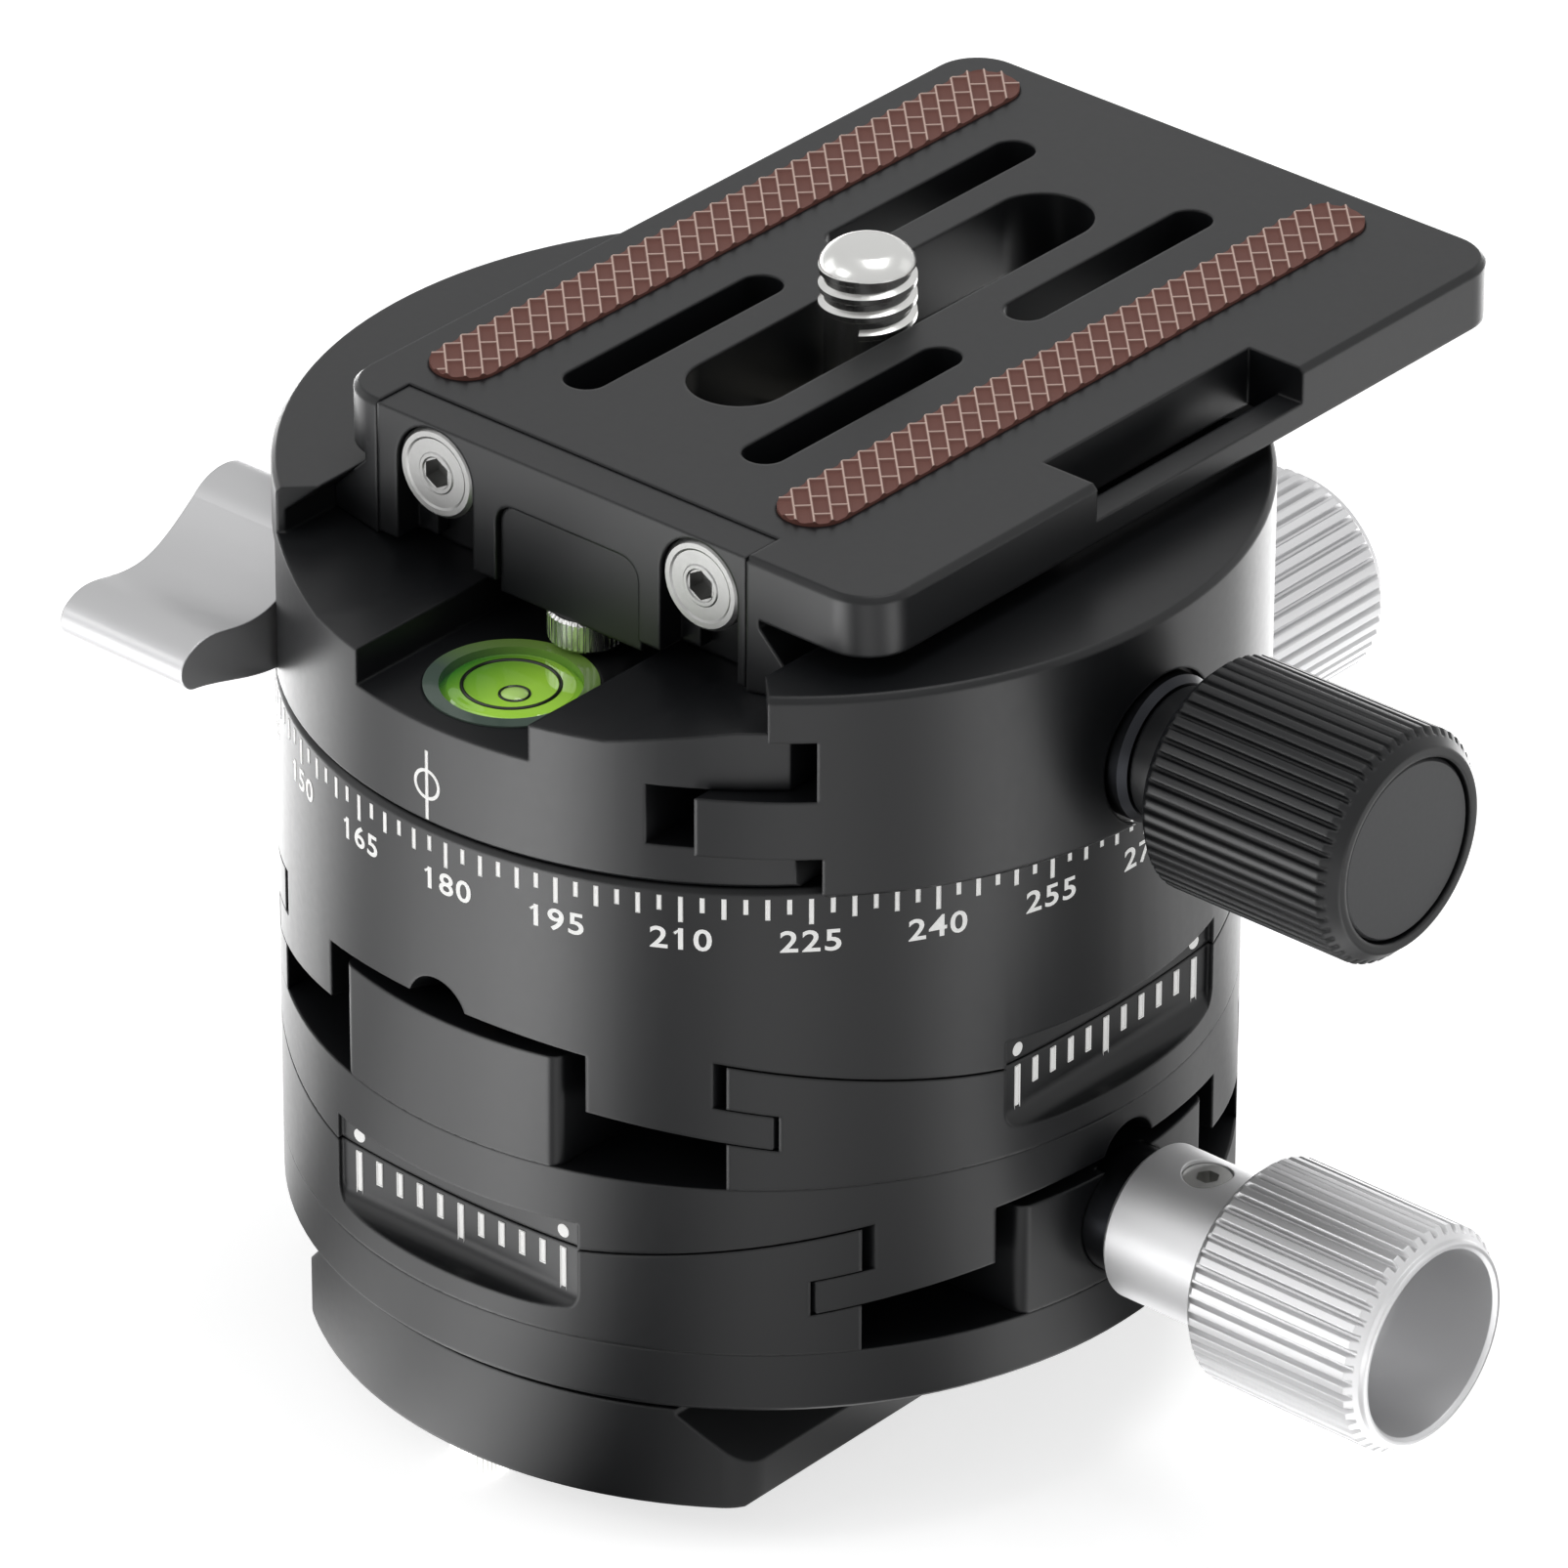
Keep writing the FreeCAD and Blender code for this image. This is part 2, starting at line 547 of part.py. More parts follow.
def worm_housing():
    """Block between the rails with a tower at each end and a curved saddle between them."""
    half = HOUSING_HALF_WIDTH
    block = body_disc(0, HOUSING_TOWER_TOP).common(box(-FAR, FAR, -half, half, 0, HOUSING_TOWER_TOP))
    block = fillet_upright_edges(block, HOUSING_EDGE_RADIUS, lambda p: abs(abs(p.y) - half) < 1e-3)
    shape = block.cut(tilt_cylinder(HOUSING_SADDLE_RADIUS))
    far, near = bush_spans()
    z = WORM_AXIS_HEIGHT
    shape = shape.cut(rod_x(SHAFT_RADIUS + 0.3, far[0], FAR, 0, z))
    shape = shape.cut(rod_x(BUSH_RADIUS, far[0], far[1], 0, z))
    shape = shape.cut(rod_x(BUSH_RADIUS, near[0], FAR, 0, z))
    shape = shape.cut(rod_x(BUSH_FLANGE_RADIUS + 0.05, near[1], FAR, 0, z))
    trough = WORM_HALF_LENGTH + 1.0
    shape = shape.cut(rod_x(WORM_OUTER_RADIUS + WORM_TROUGH_GAP, -trough, trough, 0, z))
    for x, y in housing_screw_places():
        shape = shape.cut(rod_z(STAGE_SCREW_RADIUS, -1, STAGE_SCREW_REACH + 0.4, x, y))
    return shape


def rail_screw_places():
    return [(x, y) for x in (-RAIL_SCREW_X, RAIL_SCREW_X) for y in (-RAIL_SCREW_Y, RAIL_SCREW_Y)]


def housing_screw_places():
    return [
        (x, y)
        for x in (-HOUSING_SCREW_X, HOUSING_SCREW_X)
        for y in (-HOUSING_SCREW_Y, HOUSING_SCREW_Y)
    ]


def stage_screws():
    screws = []
    for x, y in rail_screw_places() + housing_screw_places():
        low = -STAGE_SCREW_FLOOR - STAGE_SCREW_HEAD_HEIGHT
        head = rod_z(STAGE_SCREW_HEAD_RADIUS, low, -STAGE_SCREW_FLOOR, x, y)
        shank = rod_z(STAGE_SCREW_RADIUS, -STAGE_SCREW_FLOOR - 0.5, STAGE_SCREW_REACH, x, y)
        screws.append(head.fuse(shank).removeSplitter())
    return group(screws)


def stage_screw_holes():
    """Counterbored holes from below in the piece that the stage stands on."""
    holes = []
    for x, y in rail_screw_places() + housing_screw_places():
        bore = rod_z(STAGE_SCREW_HEAD_RADIUS + 0.1, -FAR, -STAGE_SCREW_FLOOR, x, y)
        holes.append(bore.fuse(rod_z(STAGE_SCREW_RADIUS, -FAR, 1, x, y)))
    return holes


def fluted_outline(x, radius, count, depth, z):
    """Closed outline of a fluted rod in the plane x, lands wider than the grooves."""
    step = 2.0 * math.pi / count
    marks = ((-0.30, radius), (0.30, radius), (0.40, radius - depth), (0.60, radius - depth))
    points = []
    for index in range(count):
        for share, r in marks:
            angle = (index + share) * step
            points.append(V(x, r * math.sin(angle), z + r * math.cos(angle)))
    return points


def fluted_rod(x0, x1, radius, count, depth, chamfer, z):
    rod = prism(fluted_outline(x0, radius, count, depth, z), V(x1 - x0, 0, 0))
    envelope = [
        (x0, 0),
        (x0, radius - chamfer),
        (x0 + chamfer, radius),
        (x1 - chamfer, radius),
        (x1, radius - chamfer),
        (x1, 0),
    ]
    return rod.common(turned_about_x(envelope, z))


def tilt_knob():
    z = WORM_AXIS_HEIGHT
    collar = turned_about_x(
        [
            (COLLAR_START, 0),
            (COLLAR_START, COLLAR_RADIUS - EDGE_CHAMFER),
            (COLLAR_START + EDGE_CHAMFER, COLLAR_RADIUS),
            (KNOB_START + 1, COLLAR_RADIUS),
            (KNOB_START + 1, 0),
        ],
        z,
    )
    grip = fluted_rod(KNOB_START, KNOB_END, KNOB_RADIUS, KNOB_FLUTES, KNOB_FLUTE_DEPTH, KNOB_CHAMFER, z)
    floor = KNOB_END - KNOB_CUP_DEPTH
    cup = turned_about_x(
        [
            (floor, 0),
            (floor, KNOB_CUP_RADIUS - 1.2),
            (floor + 0.8, KNOB_CUP_RADIUS - 0.3),
            (KNOB_END + 0.1, KNOB_CUP_RADIUS),
            (KNOB_END + 0.1, 0),
        ],
        z,
    )
    bore = rod_x(SHAFT_RADIUS, COLLAR_START - 1, floor - 0.4, 0, z)
    hole = rod_z(SET_SCREW_RADIUS, z + SHAFT_RADIUS - 0.5, z + FAR, COLLAR_START + SET_SCREW_OFFSET, 0)
    return collar.fuse(grip).cut(cup).cut(bore).cut(hole)


def knob_set_screw():
    z = WORM_AXIS_HEIGHT
    x = COLLAR_START + SET_SCREW_OFFSET
    top = z + COLLAR_RADIUS - 0.35
    shape = rod_z(SET_SCREW_RADIUS, z + SHAFT_RADIUS, top, x, 0)
    hexagon = []
    for corner in range(6):
        angle = math.radians(60.0 * corner)
        hexagon.append(V(x + SET_SCREW_SOCKET * math.cos(angle), SET_SCREW_SOCKET * math.sin(angle), top))
    return shape.cut(prism(hexagon, V(0, 0, -1.4)))


def lower(shape):
    """Put a piece of the stage in its place in the lower stage."""
    return moved(shape, z=LOWER_SEAT)


def upper(shape):
    """Put a piece of the stage in the upper stage, a quarter turn further round."""
    turned = shape.copy()
    turned.rotate(V(0, 0, 0), V(0, 0, 1), 90)
    turned.translate(V(0, 0, UPPER_SEAT))
    return turned


# ---- foot and base ------------------------------------------------------------------------
def foot_stop_places():
    return [(0.0, -FOOT_STOP_Y), (0.0, FOOT_STOP_Y)]


def foot_screw_places():
    return [(x, y) for x in (-FOOT_SCREW_X, FOOT_SCREW_X) for y in (-FOOT_SCREW_Y, FOOT_SCREW_Y)]


def bottom_plate():
    wide = FOOT_HALF_WIDTH
    neck = FOOT_NECK_HALF_WIDTH
    bevel_top = FOOT_STRAIGHT_HEIGHT + wide - neck
    outline = [
        (-wide + EDGE_CHAMFER, 0),
        (-wide, EDGE_CHAMFER),
        (-wide, FOOT_STRAIGHT_HEIGHT),
        (-neck, bevel_top),
        (-neck, FOOT_HEIGHT),
        (neck, FOOT_HEIGHT),
        (neck, bevel_top),
        (wide, FOOT_STRAIGHT_HEIGHT),
        (wide, EDGE_CHAMFER),
        (wide - EDGE_CHAMFER, 0),
    ]
    shape = profile_along_y(outline, -FAR, FAR).common(rod_z(FOOT_END_RADIUS, 0, FOOT_HEIGHT))
    shape = shape.cut(rod_z(TRIPOD_THREAD_RADIUS, -1, FOOT_HEIGHT + 1))
    for x, y in foot_screw_places():
        head = rod_z(FOOT_SCREW_HEAD_RADIUS + 0.1, -1, FOOT_SCREW_HEAD_HEIGHT + 0.4, x, y)
        shape = shape.cut(head.fuse(rod_z(FOOT_SCREW_RADIUS, -1, FOOT_HEIGHT + 1, x, y)))
    for x, y in foot_stop_places():
        shape = shape.cut(rod_z(FOOT_STOP_SHANK_RADIUS, -1, FOOT_STOP_SHANK_LENGTH, x, y))
    return shape


def foot_screws():
    screws = []
    for x, y in foot_screw_places():
        head = rod_z(FOOT_SCREW_HEAD_RADIUS, 0.4, FOOT_SCREW_HEAD_HEIGHT + 0.4, x, y)
        shank = rod_z(FOOT_SCREW_RADIUS, 1, FOOT_HEIGHT + 3.0, x, y)
        screws.append(head.fuse(shank).removeSplitter())
    return group(screws)


def bottom_stop_screws():
    screws = []
    for x, y in foot_stop_places():
        head = rod_z(FOOT_STOP_HEAD_RADIUS, -FOOT_STOP_HEAD_HEIGHT, 0, x, y)
        shank = rod_z(FOOT_STOP_SHANK_RADIUS, -1, FOOT_STOP_SHANK_LENGTH, x, y)
        socket = rod_z(0.9, -FOOT_STOP_HEAD_HEIGHT - 1, -1.2, x, y)
        screws.append(head.fuse(shank).cut(socket))
    return group(screws)


def base_disc():
    edge = EDGE_CHAMFER
    outline = [
        (0, FOOT_HEIGHT),
        (BODY_RADIUS - SHADOW_GAP_INSET, FOOT_HEIGHT),
        (BODY_RADIUS - SHADOW_GAP_INSET, FLANGE_BOTTOM),
        (BODY_RADIUS - edge, FLANGE_BOTTOM),
        (BODY_RADIUS, FLANGE_BOTTOM + edge),
        (BODY_RADIUS, LOWER_SEAT),
        (0, LOWER_SEAT),
    ]
    shape = turned_about_z(outline)
    shape = shape.cut(rod_z(TRIPOD_THREAD_RADIUS, 0, TRIPOD_THREAD_DEPTH))
    for x, y in foot_screw_places():
        shape = shape.cut(rod_z(FOOT_SCREW_RADIUS, 0, FOOT_HEIGHT + 3.3, x, y))
    return shape.cut([lower(hole) for hole in stage_screw_holes()])


def middle_body():
    shape = lower(rocker(STAGE_HEIGHT))
    return shape.cut([upper(hole) for hole in stage_screw_holes()])


# ---- drum and pan bearing -----------------------------------------------------------------
def drum():
    shape = upper(rocker(DRUM_HEIGHT))
    shape = shape.cut(rod_z(PAN_BORE_RADIUS, PAN_FLOOR, DRUM_TOP + 1))
    rim = turned_about_z(
        [
            (BODY_RADIUS - EDGE_CHAMFER, DRUM_TOP + 0.01),
            (BODY_RADIUS + 1, DRUM_TOP + 0.01),
            (BODY_RADIUS + 1, DRUM_TOP - EDGE_CHAMFER - 1),
        ]
    )
    return shape.cut(rim)


def ring(inner, outer, z0, z1):
    return turned_about_z([(inner, z0), (outer, z0), (outer, z1), (inner, z1)])


def pan_washers():
    low = ring(PAN_WASHER_BORE, PAN_FLANGE_RADIUS, PAN_FLOOR, PAN_FLANGE_BOTTOM)
    inner = PAN_BARREL_RADIUS + PAN_RUN_GAP
    high = ring(inner, PAN_FLANGE_RADIUS, PAN_FLANGE_TOP, PAN_RETAINER_BOTTOM)
    return group([low, high])


def pan_retainer():
    inner = PAN_BARREL_RADIUS + PAN_RUN_GAP
    shape = ring(inner, PAN_BORE_RADIUS, PAN_RETAINER_BOTTOM, DRUM_TOP - 0.2)
    spanner_circle = (inner + PAN_BORE_RADIUS) / 2.0
    for angle in (0, 90, 180, 270):
        x = spanner_circle * math.cos(math.radians(angle))
        y = spanner_circle * math.sin(math.radians(angle))
        shape = shape.cut(rod_z(1.0, DRUM_TOP - 2.2, DRUM_TOP, x, y))
    return shape


def pan_screw_places():
    places = []
    for angle in PAN_SCREW_ANGLES:
        turn = math.radians(angle)
        places.append((PAN_SCREW_CIRCLE * math.cos(turn), PAN_SCREW_CIRCLE * math.sin(turn)))
    return places


def pan_spindle():
    outline = [
        (0, PAN_FLANGE_BOTTOM),
        (PAN_FLANGE_RADIUS - PAN_RUN_GAP, PAN_FLANGE_BOTTOM),
        (PAN_FLANGE_RADIUS - PAN_RUN_GAP, PAN_FLANGE_TOP),
        (PAN_BARREL_RADIUS, PAN_FLANGE_TOP),
        (PAN_BARREL_RADIUS, PAN_BARREL_TOP),
        (0, PAN_BARREL_TOP),
    ]
    shape = turned_about_z(outline)
    for x, y in pan_screw_places():
        shape = shape.cut(rod_z(PAN_SCREW_RADIUS, PAN_FLANGE_TOP, PAN_BARREL_TOP + 1, x, y))
    return shape


def pan_screws():
    screws = []
    top = PAN_SCREW_HEAD_BOTTOM + PAN_SCREW_HEAD_HEIGHT
    for x, y in pan_screw_places():
        head = rod_z(PAN_SCREW_HEAD_RADIUS, PAN_SCREW_HEAD_BOTTOM, top, x, y)
        shank = rod_z(PAN_SCREW_RADIUS, PAN_FLANGE_TOP + 1, PAN_SCREW_HEAD_BOTTOM + 1, x, y)
        socket = rod_z(1.2, top - 1.3, top + 1, x, y)
        screws.append(head.fuse(shank).cut(socket))
    return group(screws)


# ---- clamp --------------------------------------------------------------------------------
def clamp_channel():
    """Room above the seat, between the fixed jaw and the far side."""
    bevel = CLAMP_TOP - JAW_BEVEL_FOOT
    facet_top = SEAT_HEIGHT + SEAT_FACET_RISE
    outline = [
        (-JAW_REST_WALL + bevel, CLAMP_TOP),
        (-JAW_REST_WALL, JAW_BEVEL_FOOT),
        (-JAW_REST_WALL, facet_top),
        (-SEAT_FLAT_HALF_WIDTH, SEAT_HEIGHT),
        (SEAT_FLAT_HALF_WIDTH, SEAT_HEIGHT),
        (JAW_REST_WALL, facet_top),
        (JAW_REST_WALL, CLAMP_TOP + 1),
        (-JAW_REST_WALL + bevel, CLAMP_TOP + 1),
    ]
    return profile_along_y(outline, -FAR, FAR)


def jaw_room():
    """What the fixed body leaves free on the +X side for the moving jaw."""
    facet_top = SEAT_HEIGHT + SEAT_FACET_RISE
    outline = [
        (JAW_REST_WALL, CLAMP_TOP + 1),
        (JAW_REST_WALL, facet_top),
        (JAW_PARTING_TOP_X, facet_top),
        (JAW_PARTING_TOP_X, JAW_SLOT_TOP),
        (JAW_SLOT_END_X, JAW_SLOT_TOP),
        (JAW_SLOT_END_X, JAW_SLOT_BOTTOM),
        (JAW_PARTING_LOW_X, JAW_SLOT_BOTTOM),
        (JAW_PARTING_LOW_X, CLAMP_BOTTOM - 1),
        (FAR, CLAMP_BOTTOM - 1),
        (FAR, CLAMP_TOP + 1),
    ]
    return profile_along_y(outline, -FAR, FAR)


def corner_cut(side_x, side_y):
    """Corner of a jaw end, cut at 45 degrees in plan above the seat."""
    x0 = side_x * (JAW_REST_WALL - CLAMP_TOP + JAW_BEVEL_FOOT - 1)
    x1 = side_x * BODY_RADIUS
    z0 = SEAT_HEIGHT + SEAT_FACET_RISE
    points = [
        V(x0, side_y * (abs(x0) + JAW_CORNER_Y), z0),
        V(x1, side_y * (abs(x1) + JAW_CORNER_Y), z0),
        V(x0, side_y * (abs(x1) + JAW_CORNER_Y), z0),
    ]
    return prism(points, V(0, 0, CLAMP_TOP + 1 - z0))


def lever_pocket():
    inner = LEVER_INNER_X + 0.3
    main = box(-FAR, inner, LEVER_POCKET_FRONT_Y, LEVER_POCKET_REAR_Y, LEVER_POCKET_FLOOR, LEVER_POCKET_TOP)
    mouth = box(-FAR, inner, -FAR, LEVER_POCKET_FRONT_Y + 0.01, CLAMP_BOTTOM - 1, LEVER_POCKET_TOP)
    return main.fuse(mouth)


def clamp_blank():
    edge = EDGE_CHAMFER
    outline = [
        (0, CLAMP_BOTTOM),
        (BODY_RADIUS - edge, CLAMP_BOTTOM),
        (BODY_RADIUS, CLAMP_BOTTOM + edge),
        (BODY_RADIUS, CLAMP_TOP - edge),
        (BODY_RADIUS - edge, CLAMP_TOP),
        (0, CLAMP_TOP),
    ]
    return turned_about_z(outline)


def clamp_body():
    shape = clamp_blank().cut(clamp_channel()).cut(jaw_room())
    shape = shape.cut([corner_cut(-1, -1), corner_cut(-1, 1)])
    half = POCKET_HALF_WIDTH
    front = box(-half, half, -FAR, -POCKET_INNER_Y, POCKET_FLOOR, CLAMP_TOP + 1)
    rear = box(-half, half, POCKET_INNER_Y, FAR, POCKET_FLOOR, CLAMP_TOP + 1)
    level = rod_z(LEVEL_RADIUS + 0.02, POCKET_FLOOR + LEVEL_STAND - LEVEL_HEIGHT, CLAMP_TOP, 0, LEVEL_Y)
    shape = shape.cut([front, rear, level, lever_pocket()])
    shape = shape.cut(rod_z(PAN_BARREL_RADIUS, CLAMP_BOTTOM - 1, PAN_BARREL_TOP))
    for x, y in pan_screw_places():
        shape = shape.cut(rod_z(PAN_SCREW_RADIUS, CLAMP_BOTTOM - 1, CLAMP_TOP, x, y))
        shape = shape.cut(rod_z(PAN_SCREW_HEAD_RADIUS + 0.1, PAN_SCREW_HEAD_BOTTOM, CLAMP_TOP, x, y))
    screw = rod_x(CLAMP_SCREW_RADIUS + CLAMP_SCREW_GAP, CLAMP_SCREW_END - 3.0, FAR, 0, CLAMP_AXIS_HEIGHT)
    shape = shape.cut(screw)
    for y in (-GUIDE_PIN_Y, GUIDE_PIN_Y):
        pin = rod_x(GUIDE_PIN_RADIUS, GUIDE_PIN_START, FAR, y, CLAMP_AXIS_HEIGHT)
        spring = rod_x(SPRING_RADIUS + SPRING_WIRE_RADIUS + 0.1, SPRING_START, FAR, y, CLAMP_AXIS_HEIGHT)
        shape = shape.cut([pin, spring])
    lever_screw = rod_x(LEVER_SCREW_RADIUS, -FAR, LEVER_SCREW_END_X, LEVER_PIVOT_Y, LEVER_PIVOT_Z)
    shoe = rod_z(BRAKE_RADIUS + 0.05, CLAMP_BOTTOM - 1, LEVER_POCKET_FLOOR + 1, BRAKE_X, LEVER_PIVOT_Y)
    return shape.cut([lever_screw, shoe])


def jaw():
    """Moving jaw, drawn closed and then moved out by its opening."""
    bevel = CLAMP_TOP - JAW_BEVEL_FOOT
    shelf = SEAT_HEIGHT + SEAT_FACET_RISE + JAW_SLIDE_GAP
    outline = [
        (JAW_REST_WALL - bevel, CLAMP_TOP + 1),
        (JAW_REST_WALL - bevel, CLAMP_TOP),
        (JAW_REST_WALL, JAW_BEVEL_FOOT),
        (JAW_REST_WALL, shelf),
        (JAW_PARTING_TOP_X + JAW_CLOSED_GAP, shelf),
        (JAW_PARTING_TOP_X + JAW_CLOSED_GAP, JAW_SLOT_TOP - JAW_SLIDE_GAP),
        (JAW_TONGUE_X, JAW_SLOT_TOP - JAW_SLIDE_GAP),
        (JAW_TONGUE_X, JAW_SLOT_BOTTOM + JAW_SLIDE_GAP),
        (JAW_PARTING_LOW_X + JAW_CLOSED_GAP, JAW_SLOT_BOTTOM + JAW_SLIDE_GAP),
        (JAW_PARTING_LOW_X + JAW_CLOSED_GAP, CLAMP_BOTTOM - 1),
        (FAR, CLAMP_BOTTOM - 1),
        (FAR, CLAMP_TOP + 1),
    ]
    shape = clamp_blank().common(profile_along_y(outline, -FAR, FAR))
    shape = shape.cut([corner_cut(1, -1), corner_cut(1, 1)])
    shape = shape.cut(rod_x(CLAMP_SCREW_RADIUS + 0.2, 0, FAR, 0, CLAMP_AXIS_HEIGHT))
    flat = box(BODY_RADIUS - 1.0, FAR, -FAR, FAR, CLAMP_BOTTOM, CLAMP_TOP)
    spot = rod_x(CLAMP_WASHER_RADIUS + 0.3, BODY_RADIUS - 1.0, FAR, 0, CLAMP_AXIS_HEIGHT)
    shape = shape.cut(flat.common(spot))
    for y in (-GUIDE_PIN_Y, GUIDE_PIN_Y):
        end = GUIDE_PIN_END + 0.6
        shape = shape.cut(rod_x(GUIDE_PIN_RADIUS + 0.05, 0, end, y, CLAMP_AXIS_HEIGHT))
    return moved(shape, x=JAW_OPENING)


def jaw_guide_pins():
    pins = []
    for y in (-GUIDE_PIN_Y, GUIDE_PIN_Y):
        pins.append(rod_x(GUIDE_PIN_RADIUS, GUIDE_PIN_START, GUIDE_PIN_END, y, CLAMP_AXIS_HEIGHT))
    return group(pins)


def jaw_springs():
    """Open-coil springs round the pins, as long as they are with the jaw closed on the plate."""
    start = SPRING_START + SPRING_WIRE_RADIUS
    end = JAW_TONGUE_X - SPRING_WIRE_RADIUS
    pitch = (end - start) / SPRING_TURNS
    helix = Part.makeHelix(pitch, end - start, SPRING_RADIUS)
    circle = Part.makeCircle(SPRING_WIRE_RADIUS, V(SPRING_RADIUS, 0, 0), V(0, 1, 0))
    coil = Part.Wire(helix).makePipeShell([Part.Wire(circle)], True, True)
    coil.rotate(V(0, 0, 0), V(0, 1, 0), 90)
    springs = []
    for y in (-GUIDE_PIN_Y, GUIDE_PIN_Y):
        springs.append(moved(coil, start, y, CLAMP_AXIS_HEIGHT))
    return group(springs)


def clamp_screw():
    head = CLAMP_KNOB_START + 4.0
    outline = [
        (CLAMP_SCREW_END, 0),
        (CLAMP_SCREW_END, CLAMP_SCREW_RADIUS - 0.6),
        (CLAMP_SCREW_END + 0.6, CLAMP_SCREW_RADIUS),
        (head, CLAMP_SCREW_RADIUS),
        (head, 0),
    ]
    return turned_about_x(outline, CLAMP_AXIS_HEIGHT)


def washer_face():
    """Seat of the washer, a spot face just inside the round of the jaw."""
    return JAW_FACE_X - 1.0


def clamp_washer():
    outline = [
        (washer_face(), CLAMP_SCREW_RADIUS + 0.1),
        (washer_face(), CLAMP_WASHER_RADIUS),
        (CLAMP_NECK_START - 0.5, CLAMP_WASHER_RADIUS),
        (CLAMP_NECK_START, CLAMP_WASHER_RADIUS - 0.4),
        (CLAMP_NECK_START, CLAMP_SCREW_RADIUS + 0.1),
    ]
    return turned_about_x(outline, CLAMP_AXIS_HEIGHT)


def clamp_knob():
    z = CLAMP_AXIS_HEIGHT
    neck = rod_x(CLAMP_NECK_RADIUS, CLAMP_NECK_START, CLAMP_KNOB_START + 1, 0, z)
    grip = fluted_rod(
        CLAMP_KNOB_START, CLAMP_KNOB_END, CLAMP_KNOB_RADIUS, CLAMP_KNOB_RIDGES, CLAMP_KNOB_RIDGE_DEPTH,
        1.0, z,
    )
    recess = rod_x(CLAMP_CAP_RADIUS, CLAMP_KNOB_END - CLAMP_CAP_DEPTH, FAR, 0, z)
    bore = rod_x(CLAMP_SCREW_RADIUS, 0, CLAMP_KNOB_START + 4.0, 0, z)
    return neck.fuse(grip).cut(recess).cut(bore)


def clamp_knob_cap():
    start = CLAMP_KNOB_END - CLAMP_CAP_DEPTH
    end = CLAMP_KNOB_END - 0.15
    outline = [
        (start, 0),
        (start, CLAMP_CAP_RADIUS - 0.02),
        (end - 0.2, CLAMP_CAP_RADIUS - 0.02),
        (end, CLAMP_CAP_RADIUS - 0.22),
        (end, 0),
    ]
    return turned_about_x(outline, CLAMP_AXIS_HEIGHT)


# ---- pan lever ----------------------------------------------------------------------------
def lever_outline():
    """Arm of the thumb lever as a closed wire in the plane x = LEVER_OUTER_X, from its pivot out."""
    top = [(-14.8, -0.3), (-12.7, 0.5), (-9.9, 0.1), (-7.2, 0.2), (-5.2, 1.1), (-2.8, 2.8)]
    under = [(-0.2, -3.9), (-2.8, -3.9), (-5.2, -4.3), (-8.2, -4.1), (-10.9, -3.4), (-13.8, -2.7)]

    def place(point):
        return V(LEVER_OUTER_X, LEVER_PIVOT_Y + point[0], LEVER_PIVOT_Z + point[1])

    top_curve = Part.BSplineCurve()
    top_curve.interpolate([place(point) for point in top])
    under_curve = Part.BSplineCurve()
    under_curve.interpolate([place(point) for point in under])
    inner = Part.makeLine(place(top[-1]), place(under[0]))
    tip = Part.Arc(place(under[-1]), place((-15.2, -1.4)), place(top[0])).toShape()
    return Part.Wire([top_curve.toShape(), inner, under_curve.toShape(), tip])


def pan_lever():
    width = LEVER_INNER_X - LEVER_OUTER_X
    arm = Part.Face(lever_outline()).extrude(V(width, 0, 0))
    hub = rod_x(LEVER_HUB_RADIUS, LEVER_OUTER_X, LEVER_INNER_X, LEVER_PIVOT_Y, LEVER_PIVOT_Z)
    shape = arm.fuse(hub)
    bore = rod_x(LEVER_SCREW_RADIUS + 0.05, -FAR, 0, LEVER_PIVOT_Y, LEVER_PIVOT_Z)
    sunk = rod_x(
        LEVER_SCREW_HEAD_RADIUS + 0.1, -FAR, LEVER_OUTER_X + LEVER_SCREW_HEAD_HEIGHT, LEVER_PIVOT_Y,
        LEVER_PIVOT_Z,
    )
    return shape.cut([bore, sunk])


def pan_lever_screw():
    head_end = LEVER_OUTER_X + LEVER_SCREW_HEAD_HEIGHT
    head = rod_x(LEVER_SCREW_HEAD_RADIUS, LEVER_OUTER_X + 0.1, head_end, LEVER_PIVOT_Y, LEVER_PIVOT_Z)
    shank = rod_x(LEVER_SCREW_RADIUS, head_end - 0.5, LEVER_SCREW_END_X, LEVER_PIVOT_Y, LEVER_PIVOT_Z)
    return head.fuse(shank)


def pan_brake_shoe():
    bottom = DRUM_TOP + 0.05
    return rod_z(BRAKE_RADIUS, bottom, LEVER_POCKET_FLOOR, BRAKE_X, LEVER_PIVOT_Y)


# ---- bubble level -------------------------------------------------------------------------
def level_housing():
    top = POCKET_FLOOR + LEVEL_STAND
    bottom = top - LEVEL_HEIGHT
    shape = rod_z(LEVEL_RADIUS, bottom, top, 0, LEVEL_Y)
    return shape.cut(rod_z(LEVEL_RADIUS - LEVEL_WALL, bottom + LEVEL_FLOOR, top + 1, 0, LEVEL_Y))


def level_vial():
    top = POCKET_FLOOR + LEVEL_STAND - 0.15
    bottom = POCKET_FLOOR + LEVEL_STAND - LEVEL_HEIGHT + LEVEL_FLOOR
    return rod_z(LEVEL_RADIUS - LEVEL_WALL, bottom, top, 0, LEVEL_Y)


